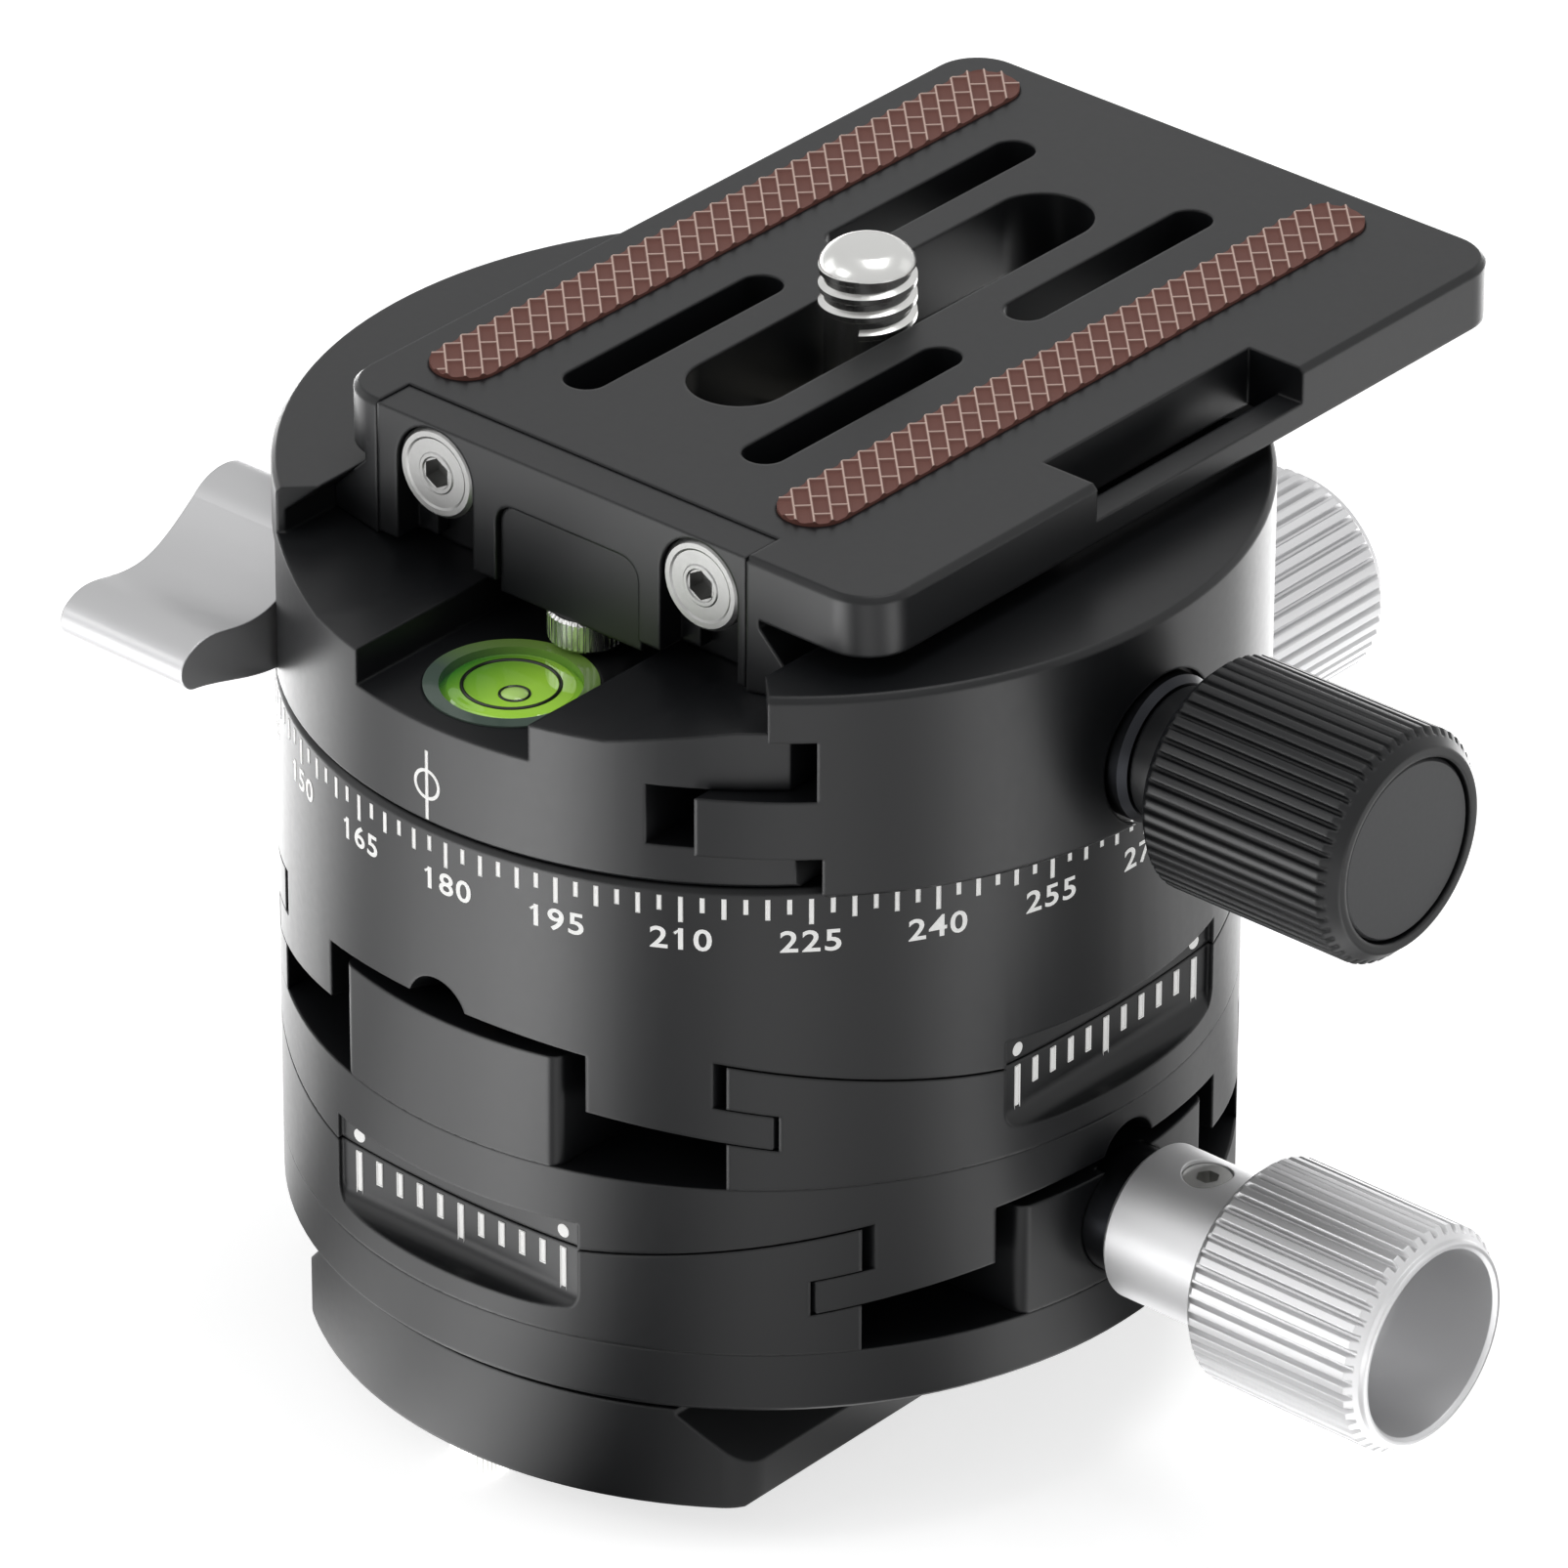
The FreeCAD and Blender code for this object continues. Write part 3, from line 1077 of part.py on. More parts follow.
# ---- camera plate -------------------------------------------------------------------------
def plate_slab():
    slab = box(PLATE_LEFT_X, PLATE_RIGHT_X, PLATE_FRONT_Y, PLATE_REAR_Y, SLAB_BOTTOM, PLATE_TOP)
    slab = fillet_upright_edges(slab, PLATE_CORNER, lambda point: True)
    rims = [edge for edge in slab.Edges if abs(edge.CenterOfMass.z - PLATE_TOP) < 1e-6]
    return slab.makeChamfer(EDGE_CHAMFER, rims)


def plate_dovetail():
    wide = PLATE_HALF_WIDTH
    bevel_foot = JAW_BEVEL_FOOT
    facet = SEAT_FACET_RISE * (wide - SEAT_FLAT_HALF_WIDTH) / (JAW_REST_WALL - SEAT_FLAT_HALF_WIDTH)
    facet_top = PLATE_BOTTOM + facet
    outline = [
        (-SEAT_FLAT_HALF_WIDTH, PLATE_BOTTOM),
        (-wide, facet_top),
        (-wide, bevel_foot),
        (-wide + PLATE_BEVEL, bevel_foot + PLATE_BEVEL),
        (-wide + PLATE_BEVEL, SLAB_BOTTOM + 1),
        (wide - PLATE_BEVEL, SLAB_BOTTOM + 1),
        (wide - PLATE_BEVEL, bevel_foot + PLATE_BEVEL),
        (wide, bevel_foot),
        (wide, facet_top),
        (SEAT_FLAT_HALF_WIDTH, PLATE_BOTTOM),
    ]
    return profile_along_y(outline, PLATE_FRONT_Y, PLATE_REAR_Y)


def lip_room():
    """Recess for the stop lip, round the boss that guides its window."""
    gap = LIP_SIDE_GAP
    rear = PLATE_FRONT_Y + LIP_THICKNESS + gap
    room = box(-LIP_HALF_WIDTH - gap, LIP_HALF_WIDTH + gap, -FAR, rear, PLATE_BOTTOM - 1, FAR)
    boss = box(LIP_WINDOW_LEFT_X + gap, LIP_WINDOW_RIGHT_X - gap, PLATE_FRONT_Y + LIP_BOSS_INSET, 0, 0, FAR)
    boss = boss.common(box(-FAR, FAR, -FAR, FAR, 0, LIP_WINDOW_TOP - gap))
    for x in (LIP_WINDOW_LEFT_X + gap, LIP_WINDOW_RIGHT_X - gap):
        side = 1 if x < 0 else -1
        corner = box(min(x, x + side * LIP_WINDOW_CORNER), max(x, x + side * LIP_WINDOW_CORNER), -FAR, 0,
                     LIP_WINDOW_TOP - gap - LIP_WINDOW_CORNER, FAR)
        round_corner = rod_y(LIP_WINDOW_CORNER, -FAR, 0, x + side * LIP_WINDOW_CORNER,
                             LIP_WINDOW_TOP - gap - LIP_WINDOW_CORNER)
        boss = boss.cut(corner.cut(round_corner))
    return room.cut(boss)


def side_slots():
    slots = []
    for x in (-SIDE_SLOT_X, SIDE_SLOT_X):
        for y0, y1 in SIDE_SLOT_SPANS:
            slots.append(rounded_bar(x, SIDE_SLOT_HALF_WIDTH, y0, y1, 0, FAR))
    return slots


def strap_notch():
    hole = box(NOTCH_WALL_X, NOTCH_BAR_X, NOTCH_FRONT_Y, NOTCH_REAR_Y, SLAB_BOTTOM - 1, PLATE_TOP + 1)
    sunk = box(NOTCH_BAR_X - 1, FAR, NOTCH_FRONT_Y, NOTCH_REAR_Y, NOTCH_BAR_TOP, PLATE_TOP + 1)
    return hole.fuse(sunk)


def grip_bar(x, z0, z1, gap):
    return rounded_bar(x, GRIP_HALF_WIDTH + gap, GRIP_FRONT_Y - gap, GRIP_REAR_Y + gap, z0, z1)


def plate_stop_places():
    return [(0.0, PLATE_STOP_FRONT_Y), (0.0, PLATE_STOP_REAR_Y)]


def camera_plate():
    shape = plate_slab().fuse(plate_dovetail()).removeSplitter()
    shape = shape.cut(lip_room())
    channel = box(
        -PLATE_CHANNEL_HALF_WIDTH, PLATE_CHANNEL_HALF_WIDTH, PLATE_CHANNEL_FRONT_Y, PLATE_CHANNEL_REAR_Y,
        PLATE_BOTTOM - 1, PLATE_CHANNEL_TOP,
    )
    centre = rounded_bar(0, CENTRE_SLOT_HALF_WIDTH, CENTRE_SLOT_FRONT_Y, CENTRE_SLOT_REAR_Y, 0, FAR)
    shape = shape.cut([channel, centre, strap_notch()] + side_slots())
    seat = PLATE_TOP - GRIP_SEAT_DEPTH
    shape = shape.cut([grip_bar(x, seat, FAR, 0.03) for x in (-GRIP_X, GRIP_X)])
    for x, y in plate_stop_places():
        top = PLATE_BOTTOM + PLATE_STOP_SHANK_LENGTH
        shape = shape.cut(rod_z(PLATE_STOP_SHANK_RADIUS, PLATE_BOTTOM - 1, top, x, y))
    rear = PLATE_FRONT_Y + LIP_THICKNESS + LIP_SCREW_SHANK_LENGTH
    for x in (LIP_SCREW_LEFT_X, LIP_SCREW_RIGHT_X):
        shape = shape.cut(rod_y(LIP_SCREW_SHANK_RADIUS, PLATE_FRONT_Y - 1, rear, x, LIP_SCREW_Z))
    return shape


def grip(x):
    return grip_bar(x, PLATE_TOP - GRIP_SEAT_DEPTH, PLATE_TOP + GRIP_PROUD, 0)


def lip_slot(half_width, y0, y1, x):
    """Slot with a round top at the screw, open at the bottom edge of the lip."""
    straight = box(x - half_width, x + half_width, y0, y1, 0, LIP_SCREW_Z)
    return straight.fuse(rod_y(half_width, y0, y1, x, LIP_SCREW_Z)).removeSplitter()


def lip_window():
    corner = LIP_WINDOW_CORNER
    left = LIP_WINDOW_LEFT_X
    right = LIP_WINDOW_RIGHT_X
    top = LIP_WINDOW_TOP
    low = box(left, right, -FAR, FAR, 0, top - corner)
    high = box(left + corner, right - corner, -FAR, FAR, 0, top)
    rounds = [rod_y(corner, -FAR, FAR, x, top - corner) for x in (left + corner, right - corner)]
    return low.fuse([high] + rounds).removeSplitter()


def stop_lip():
    rear = PLATE_FRONT_Y + LIP_THICKNESS
    shape = box(-LIP_HALF_WIDTH, LIP_HALF_WIDTH, PLATE_FRONT_Y, rear, LIP_BOTTOM, PLATE_TOP - LIP_TOP_INSET)
    shape = shape.cut(lip_window())
    floor = PLATE_FRONT_Y + LIP_SCREW_HEAD_HEIGHT
    for x in (LIP_SCREW_LEFT_X, LIP_SCREW_RIGHT_X):
        shape = shape.cut(lip_slot(LIP_SCREW_HEAD_RADIUS + LIP_SLOT_GAP, PLATE_FRONT_Y - 1, floor, x))
        shape = shape.cut(lip_slot(LIP_SCREW_SHANK_RADIUS + LIP_SLOT_GAP, PLATE_FRONT_Y - 1, rear + 1, x))
    return shape


def stop_lip_screws():
    screws = []
    for x in (LIP_SCREW_LEFT_X, LIP_SCREW_RIGHT_X):
        floor = PLATE_FRONT_Y + LIP_SCREW_HEAD_HEIGHT
        end = PLATE_FRONT_Y + LIP_THICKNESS + LIP_SCREW_SHANK_LENGTH
        head = rod_y(LIP_SCREW_HEAD_RADIUS, PLATE_FRONT_Y + 0.1, floor, x, LIP_SCREW_Z)
        shank = rod_y(LIP_SCREW_SHANK_RADIUS, PLATE_FRONT_Y + 1, end, x, LIP_SCREW_Z)
        socket = rod_y(1.2, PLATE_FRONT_Y - 1, PLATE_FRONT_Y + 1.3, x, LIP_SCREW_Z)
        screws.append(head.fuse(shank).cut(socket))
    return group(screws)


def plate_stop_screws():
    screws = []
    for x, y in plate_stop_places():
        low = PLATE_BOTTOM - PLATE_STOP_HEAD_HEIGHT
        head = rod_z(PLATE_STOP_HEAD_RADIUS, low, PLATE_BOTTOM, x, y)
        shank = rod_z(PLATE_STOP_SHANK_RADIUS, low + 1, PLATE_BOTTOM + PLATE_STOP_SHANK_LENGTH, x, y)
        screws.append(head.fuse(shank).removeSplitter())
    return group(screws)


def camera_screw():
    top = PLATE_TOP + CAMERA_SCREW_STAND
    head_top = PLATE_CHANNEL_TOP - CAMERA_WASHER_HEIGHT - 0.1
    outline = [
        (0, CAMERA_HEAD_BOTTOM),
        (CAMERA_HEAD_RADIUS - 0.4, CAMERA_HEAD_BOTTOM),
        (CAMERA_HEAD_RADIUS, CAMERA_HEAD_BOTTOM + 0.4),
        (CAMERA_HEAD_RADIUS, head_top),
        (CAMERA_SHANK_RADIUS, head_top),
        (CAMERA_SHANK_RADIUS, PLATE_TOP + CAMERA_THREAD_START),
        (CAMERA_SCREW_RADIUS, PLATE_TOP + CAMERA_THREAD_START),
        (CAMERA_SCREW_RADIUS, top - 0.7),
        (CAMERA_SCREW_RADIUS - 0.7, top),
        (0, top),
    ]
    half = COIN_SLOT_WIDTH / 2.0
    slot = box(-FAR, FAR, -half, half, CAMERA_HEAD_BOTTOM - 1, CAMERA_HEAD_BOTTOM + COIN_SLOT_DEPTH)
    return moved(turned_about_z(outline).cut(slot), y=CAMERA_SCREW_Y)


def camera_screw_washer():
    top = PLATE_CHANNEL_TOP - 0.05
    shape = ring(CAMERA_SCREW_RADIUS + 0.05, CAMERA_HEAD_RADIUS - 0.3, top - CAMERA_WASHER_HEIGHT, top)
    return moved(shape, y=CAMERA_SCREW_Y)


# ---- all nodes ----------------------------------------------------------------------------
def save_stage(prefix, place, rail_names):
    front = rail(True)
    rear = mirrored_y(rail(False))
    save(rail_names[0], place(front))
    save(rail_names[1], place(rear))
    save(prefix + "_stage_screws", place(stage_screws()))
    save(prefix + "_worm_housing", place(worm_housing()))
    save(prefix + "_worm_bushes", place(worm_bushes()))
    save(prefix + "_worm_shaft", place(worm_shaft()))
    save(prefix + "_knob", place(tilt_knob()))
    save(prefix + "_knob_screw", place(knob_set_screw()))
    save(prefix + "_rack", place(rack()))


def main():
    os.makedirs("parts", exist_ok=True)
    save("bottom_plate", bottom_plate())
    save("bottom_stop_screws", bottom_stop_screws())
    save("foot_screws", foot_screws())
    save("base_disc", base_disc())
    save_stage("lower", lower, ("lower_rail_front", "lower_rail_rear"))
    save("middle_body", middle_body())
    save_stage("upper", upper, ("upper_rail_right", "upper_rail_left"))
    save("drum", drum())
    save("pan_washers", pan_washers())
    save("pan_retainer", pan_retainer())
    save("pan_spindle", pan_spindle())
    save("pan_screws", pan_screws())
    save("clamp_body", clamp_body())
    save("jaw", jaw())
    save("jaw_guide_pins", jaw_guide_pins())
    save("jaw_springs", jaw_springs())
    save("clamp_screw", clamp_screw())
    save("clamp_washer", clamp_washer())
    save("clamp_knob", clamp_knob())
    save("clamp_knob_cap", clamp_knob_cap())
    save("pan_lever", pan_lever())
    save("pan_lever_screw", pan_lever_screw())
    save("pan_brake_shoe", pan_brake_shoe())
    save("level_housing", level_housing())
    save("level_vial", level_vial())
    save("camera_plate", camera_plate())
    save("grip_left", grip(-GRIP_X))
    save("grip_right", grip(GRIP_X))
    save("stop_lip", stop_lip())
    save("stop_lip_screws", stop_lip_screws())
    save("plate_stop_screws", plate_stop_screws())
    save("camera_screw", camera_screw())
    save("camera_screw_washer", camera_screw_washer())


main()
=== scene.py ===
"""Geared panoramic head: finishes, knurled knobs, scales, grips, bubble level and studio."""
import json
import math

import bpy
from bpy.props import FloatProperty, FloatVectorProperty, IntProperty, PointerProperty
from mathutils import Matrix, Vector

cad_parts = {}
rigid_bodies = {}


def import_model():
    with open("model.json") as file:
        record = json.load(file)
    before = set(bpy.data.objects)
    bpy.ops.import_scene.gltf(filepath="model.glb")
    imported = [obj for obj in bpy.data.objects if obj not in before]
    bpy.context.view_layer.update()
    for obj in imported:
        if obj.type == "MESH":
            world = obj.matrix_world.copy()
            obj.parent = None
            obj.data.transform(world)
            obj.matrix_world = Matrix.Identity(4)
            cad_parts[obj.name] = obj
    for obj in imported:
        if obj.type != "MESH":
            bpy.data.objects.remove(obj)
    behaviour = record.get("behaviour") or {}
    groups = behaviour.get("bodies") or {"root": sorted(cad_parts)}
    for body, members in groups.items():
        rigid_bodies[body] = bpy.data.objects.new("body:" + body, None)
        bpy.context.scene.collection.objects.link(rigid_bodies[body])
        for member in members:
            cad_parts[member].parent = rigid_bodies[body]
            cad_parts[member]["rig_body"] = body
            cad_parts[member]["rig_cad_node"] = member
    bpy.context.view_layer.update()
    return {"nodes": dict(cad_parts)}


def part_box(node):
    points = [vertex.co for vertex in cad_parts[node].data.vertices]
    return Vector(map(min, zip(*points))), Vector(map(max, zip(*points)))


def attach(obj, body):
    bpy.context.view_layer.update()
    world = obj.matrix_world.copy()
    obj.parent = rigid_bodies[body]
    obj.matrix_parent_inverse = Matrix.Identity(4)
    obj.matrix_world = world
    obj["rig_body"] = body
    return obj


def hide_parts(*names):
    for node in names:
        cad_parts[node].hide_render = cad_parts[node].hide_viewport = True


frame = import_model()

bl_info = {
    "name": "Geared panoramic head",
    "version": (1, 0, 0),
    "blender": (4, 5, 0),
    "location": "View3D > Sidebar > Geared head",
    "description": "Builds the visible pieces and finishes of a geared panoramic head",
    "category": "Object",
}

MM = 0.001
ORIGIN = (0.0, 0.0, 0.0)

# Nodes of black anodised aluminium, all of them seen from outside.
BLACK_NODES = (
    "bottom_plate", "base_disc", "lower_rail_front", "lower_rail_rear", "lower_worm_housing",
    "middle_body", "upper_rail_right", "upper_rail_left", "upper_worm_housing", "drum",
    "clamp_body", "jaw", "camera_plate", "stop_lip",
)

# Each material slot, its finish, and the nodes that get the finish.
NODE_FINISHES = (
    ("anodised_black", "black anodised aluminium", BLACK_NODES),
    ("anodised_silver", "shaded blasted aluminium", ("pan_lever",)),
    ("stainless", "turned stainless steel", (
        "lower_stage_screws", "lower_knob_screw", "upper_knob_screw", "upper_stage_screws",
        "jaw_guide_pins", "jaw_springs", "clamp_screw", "pan_lever_screw",
    )),
    ("tool_steel", "blackened steel", (
        "foot_screws", "lower_worm_bushes", "lower_worm_shaft", "upper_worm_bushes",
        "upper_worm_shaft", "pan_retainer", "pan_spindle", "pan_screws", "clamp_washer",
    )),
    ("bronze", "machined bronze", ("lower_rack", "upper_rack")),
    ("nylon", "white nylon", ("pan_washers", "pan_brake_shoe", "camera_screw_washer")),
    ("knob_cap", "black cap", ("clamp_knob_cap",)),
    ("vial_ring", "clear acrylic", ("level_housing",)),
)

# Nodes seen from outside, whose walls are merged and smoothed for the eye.
OUTER_NODES = BLACK_NODES + (
    "pan_lever", "clamp_washer", "lower_worm_bushes", "upper_worm_bushes", "clamp_knob_cap",
    "lower_knob_screw", "upper_knob_screw", "pan_lever_screw", "foot_screws", "level_housing",
)
SMOOTH_ANGLE = math.radians(28.0)
WELD_DISTANCE = 0.001 * MM

# Direction of the camera about Z, and the glow of the reflector sheet in sectors from there.
VIEW_AZIMUTH = math.radians(40.8315 - 90.0)
SECTOR_PEAK = 8.0
SECTORS = (
    (-180, 5.0), (180, 4.2), (-150, 5.0), (-115, 3.2), (-94, 0.7), (-64, 4.0),
    (-46, 7.2), (-22, 0.15), (0, 2.0), (28, 0.9), (46, 3.8), (68, 0.1),
    (102, 1.8), (116, 0.8), (132, 3.4), (150, 4.0),
)

# Each ridge of a knurled wall has six faces, and two of its vertices lie in the groove.
FACES_PER_RIDGE = 6
GROOVE_STEPS = (4, 5)

DRUM_RADIUS = 31.0 * MM
FOOT_CORNER = 3.2 * MM

# Painted marks: how far they stand proud of the wall, and their whole thickness.
MARK_PROUD = 0.015 * MM
MARK_DEPTH = 0.05 * MM

# Pan figures: height as a share of the font's size, and how much wider they are than the font's.
FIGURE_SHARE = 0.7
FIGURE_WIDENING = 1.15

# Turned solids end in a face of this radius at the axis.
PINHOLE = 0.4 * MM

# Tilt scales: radius of the arc, top of the rail at its middle, and the rocker's flat seat.
TILT_RADIUS = 100.0 * MM
RAIL_TOP = 18.3 * MM
SEAT_PLANE = 28.9 * MM
SEAT_HALF_WIDTH = 10.2 * MM
SEAT_CUT = 4.0 * MM
SEAT_HEIGHT = 4.8 * MM

# Studio: floor and reflector sheet, the spot that the lamps aim at, and the camera.
FLOOR_SIZE = 6.0
FLOOR_HEIGHT = -2.55 * MM
SHEET_SIZE = 1.2
SHEET_HEIGHT = -2.5 * MM
LAMP_TARGET = Vector((0, 0, 0.03))
CAMERA_SPOT = (0.470015, -0.541609, 0.448930)
CAMERA_ELEVATION = math.radians(29.9328)
CAMERA_ROLL = math.radians(0.1575)
CAMERA_LENS = 296.08


def linear(code):
    """Linear colour of an sRGB hex value."""
    values = [int(code[i:i + 2], 16) / 255.0 for i in (1, 3, 5)]
    return tuple(v / 12.92 if v <= 0.04045 else ((v + 0.055) / 1.055) ** 2.4 for v in values)


def size_of(name, description, millimetres):
    """A length that the panel shows in scene units."""
    return FloatProperty(
        name=name, description=description, default=millimetres * MM, min=0.0,
        subtype="DISTANCE", unit="LENGTH", precision=5,
    )


def colour_of(name, description, code):
    """A colour that the panel shows as a swatch."""
    return FloatVectorProperty(
        name=name, description=description, default=linear(code), min=0.0, max=1.0,
        size=3, subtype="COLOR",
    )


# Sizes and colours that a user would change.
class FinishSettings(bpy.types.PropertyGroup):
    """Colours of the metals, rubber and marks."""

    black: colour_of("Black anodise", "Dye of the turned and milled bodies", "#101113")
    silver: colour_of("Silver anodise", "Blasted aluminium of the tilt knobs", "#c4c4c5")
    # The lever's colour is the knobs' aluminium painted greyer, a painted shade.
    lever: colour_of("Lever anodise", "Blasted aluminium of the lever", "#b2b2b3")
    stainless: colour_of("Stainless", "Turned stainless of the screws", "#c9c9c7")
    dark_steel: colour_of("Dark steel", "Blackened steel of shafts and bearings", "#2a2b2e")
    bronze: colour_of("Bronze", "Bronze of the racks", "#9a7434")
    rubber: colour_of("Grip rubber", "Ground of the grip strips", "#653c33")
    # The ridge colour is a painted highlight on the tops of the grip's ridges.
    rubber_ridge: colour_of("Grip ridges", "Worn top of the grip's ridges", "#e6cbbf")
    marks: colour_of("Scale marks", "Paint in the engraved marks", "#ececea")
    fluid: colour_of("Vial fluid", "Fluid of the bubble level", "#b4ee4e")


class TiltKnobSettings(bpy.types.PropertyGroup):
    """Sizes of the two tilt knobs."""

    radius: size_of("Radius", "Outside of the knurl", 7.6)
    collar_radius: size_of("Collar radius", "Smooth collar that holds the set screw", 5.25)
    collar_length: size_of("Collar length", "From the start of the collar to the knob", 8.5)
    cup_depth: size_of("Cup depth", "Depth of the hollow end", 9.0)
    groove_depth: size_of("Groove depth", "Depth of the knurl", 0.42)
    ridges: IntProperty(name="Ridges", description="Ridges around the knob", default=45, min=8)


class ClampKnobSettings(bpy.types.PropertyGroup):
    """Sizes of the black clamp knob."""

    radius: size_of("Radius", "Outside of the knurl", 7.75)
    neck_radius: size_of("Neck radius", "Neck between the jaw and the knob", 4.4)
    neck_length: size_of("Neck length", "From the washer to the knob", 3.3)
    cap_radius: size_of("Cap seat radius", "Recess that the end cap sits in", 6.12)
    cap_depth: size_of("Cap seat depth", "Depth of the recess for the cap", 2.0)
    groove_depth: size_of("Groove depth", "Depth of the knurl", 0.4)
    ridges: IntProperty(name="Ridges", description="Ridges around the knob", default=52, min=8)


class ScrewSettings(bpy.types.PropertyGroup):
    """Sizes of the camera screw."""

    thread_radius: size_of("Thread radius", "Crest of the thread", 3.175)
    root_radius: size_of("Root radius", "Root of the thread", 2.82)
    pitch: size_of("Pitch", "Twenty turns to the inch", 1.27)
    turns: IntProperty(name="Turns", description="Whole turns of thread", default=3, min=1)


class GripSettings(bpy.types.PropertyGroup):
    """Sizes of the woven pattern on the grips."""

    cell: size_of("Cell", "Width of one cell of the weave", 1.13)
    ridge: size_of("Ridge", "Half the width of a ridge", 0.23)
    ridge_height: size_of("Ridge height", "How far the ridges stand up", 0.2)


class ScaleSettings(bpy.types.PropertyGroup):
    """Sizes of the engraved scales."""

    pan_tick_width: size_of("Pan tick width", "Width of a pan mark", 0.3)
    tilt_tick_width: size_of("Tilt tick width", "Width of a tilt mark", 0.5)
    figure_height: size_of("Figure height", "Height of the pan figures", 1.5)
    pan_zero: FloatProperty(
        name="Pan zero", description="Direction of the zero mark about Z",
        default=math.radians(91.8), subtype="ANGLE",
    )


class StudioSettings(bpy.types.PropertyGroup):
    """Light on the object."""

    room_light: FloatProperty(
        name="Room light", description="Strength of the even light", default=0.3
    )
    key_power: FloatProperty(
        name="Key power", description="Power of the overhead lamp in watts", default=1.8
    )


# Small helpers for pieces.
def set_mode(mode):
    """Go into or out of edit mode."""
    bpy.ops.object.mode_set(mode=mode)


def clear_selection():
    """Leave edit mode and deselect everything."""
    if bpy.context.object and bpy.context.object.mode != "OBJECT":
        set_mode("OBJECT")
    bpy.ops.object.select_all(action="DESELECT")


def pick(piece):
    """Make a piece the only selected and the active object."""
    clear_selection()
    piece.select_set(True)
    bpy.context.view_layer.objects.active = piece


def name_new(name):
    """Name the primitive just added and put its place into its mesh."""
    piece = bpy.context.object
    piece.name = piece.data.name = name
    bpy.ops.object.transform_apply(location=True, rotation=True, scale=True)
    return piece


def block(name, spot, size):
    """A named box about a spot."""
    clear_selection()
    bpy.ops.mesh.primitive_cube_add(size=1.0, location=spot)
    bpy.context.object.scale = size
    return name_new(name)


def rod(name, sides, radius, length, spot):
    """A named upright rod or prism about a spot."""
    clear_selection()
    bpy.ops.mesh.primitive_cylinder_add(vertices=sides, radius=radius, depth=length, location=spot)
    return name_new(name)


def hoop(name, radius, thickness, steps, spot=ORIGIN, flatness=1.0):
    """A named ring of round section, with its steps around the ring and around the section."""
    clear_selection()
    bpy.ops.mesh.primitive_torus_add(
        major_radius=radius, minor_radius=thickness, major_segments=steps[0],
        minor_segments=steps[1], location=spot,
    )
    bpy.context.object.scale = (1.0, 1.0, flatness)
    return name_new(name)


def sheet(name, size, height=0.0):
    """A named square sheet at a height."""
    clear_selection()
    bpy.ops.mesh.primitive_plane_add(size=size, location=(0, 0, height))
    return name_new(name)


def edit_only(piece, kind, chosen):
    """Open a piece for editing with only the chosen vertices, edges or faces selected."""
    pick(piece)
    set_mode("EDIT")
    bpy.ops.mesh.select_mode(type=kind)
    bpy.ops.mesh.select_all(action="DESELECT")
    set_mode("OBJECT")
    mesh = piece.data
    for item in {"VERT": mesh.vertices, "EDGE": mesh.edges, "FACE": mesh.polygons}[kind]:
        item.select = chosen(item)
    set_mode("EDIT")


def edit_chosen(piece, kind, chosen, operator, **settings):
    """Run an operator on the chosen vertices, edges or faces of a piece."""
    edit_only(piece, kind, chosen)
    operator(**settings)
    set_mode("OBJECT")


def edit_open_edges(piece):
    """Open a piece for editing with only its open edges selected."""
    edit_only(piece, "EDGE", lambda edge: False)
    bpy.ops.mesh.select_non_manifold()


def edit_all(piece, operator, **settings):
    """Run an operator on the whole of a piece."""
    pick(piece)
    set_mode("EDIT")
    bpy.ops.mesh.select_all(action="SELECT")
    operator(**settings)
    set_mode("OBJECT")


def spin(piece, steps, angle, dupli=False):
    """Sweep a piece about Z, or set copies of it around Z."""
    edit_all(
        piece, bpy.ops.mesh.spin, steps=steps, dupli=dupli, angle=angle,
        center=ORIGIN, axis=(0, 0, 1.0),
    )


def face_outwards(piece):
    """Let every wall of a closed piece face outwards."""
    edit_all(piece, bpy.ops.mesh.normals_make_consistent, inside=False)


def place(piece, matrix):
    """Move a piece and write its new place into its mesh."""
    pick(piece)
    piece.matrix_world = matrix
    bpy.ops.object.transform_apply(location=True, rotation=True, scale=True)
    return piece


def apply_modifier(piece, kind, **settings):
    """Add one modifier, set it and apply it."""
    pick(piece)
    modifier = piece.modifiers.new(kind.title(), kind)
    for key, value in settings.items():
        setattr(modifier, key, value)
    bpy.ops.object.modifier_apply(modifier=modifier.name)


def smooth(piece, angle=SMOOTH_ANGLE):
    """Smooth the curved walls and keep the edges sharp."""
    pick(piece)
    bpy.ops.object.shade_smooth_by_angle(angle=angle)


def turned(name, sides, outline):
    """Turn a solid about Z from an outline of (height, radius), from one end face to the other."""
    clear_selection()
    height, radius = outline[0]
    bpy.ops.mesh.primitive_circle_add(
        vertices=sides, radius=radius, fill_type="NGON", location=(0, 0, height)
    )
    piece = name_new(name)
    set_mode("EDIT")
    bpy.ops.mesh.select_all(action="SELECT")
    for next_height, next_radius in outline[1:]:
        rise = (0, 0, next_height - height)
        bpy.ops.mesh.extrude_region_move(TRANSFORM_OT_translate={"value": rise})
        ratio = next_radius / radius
        bpy.ops.transform.resize(value=(ratio, ratio, 1.0), center_override=ORIGIN)
        height, radius = next_height, next_radius
    face_outwards(piece)
    return piece


def points_at(height, radius, *offsets):
    """Points of an outline at some millimetres from one height and radius."""
    return [(height + rise * MM, radius + reach * MM) for rise, reach in offsets]


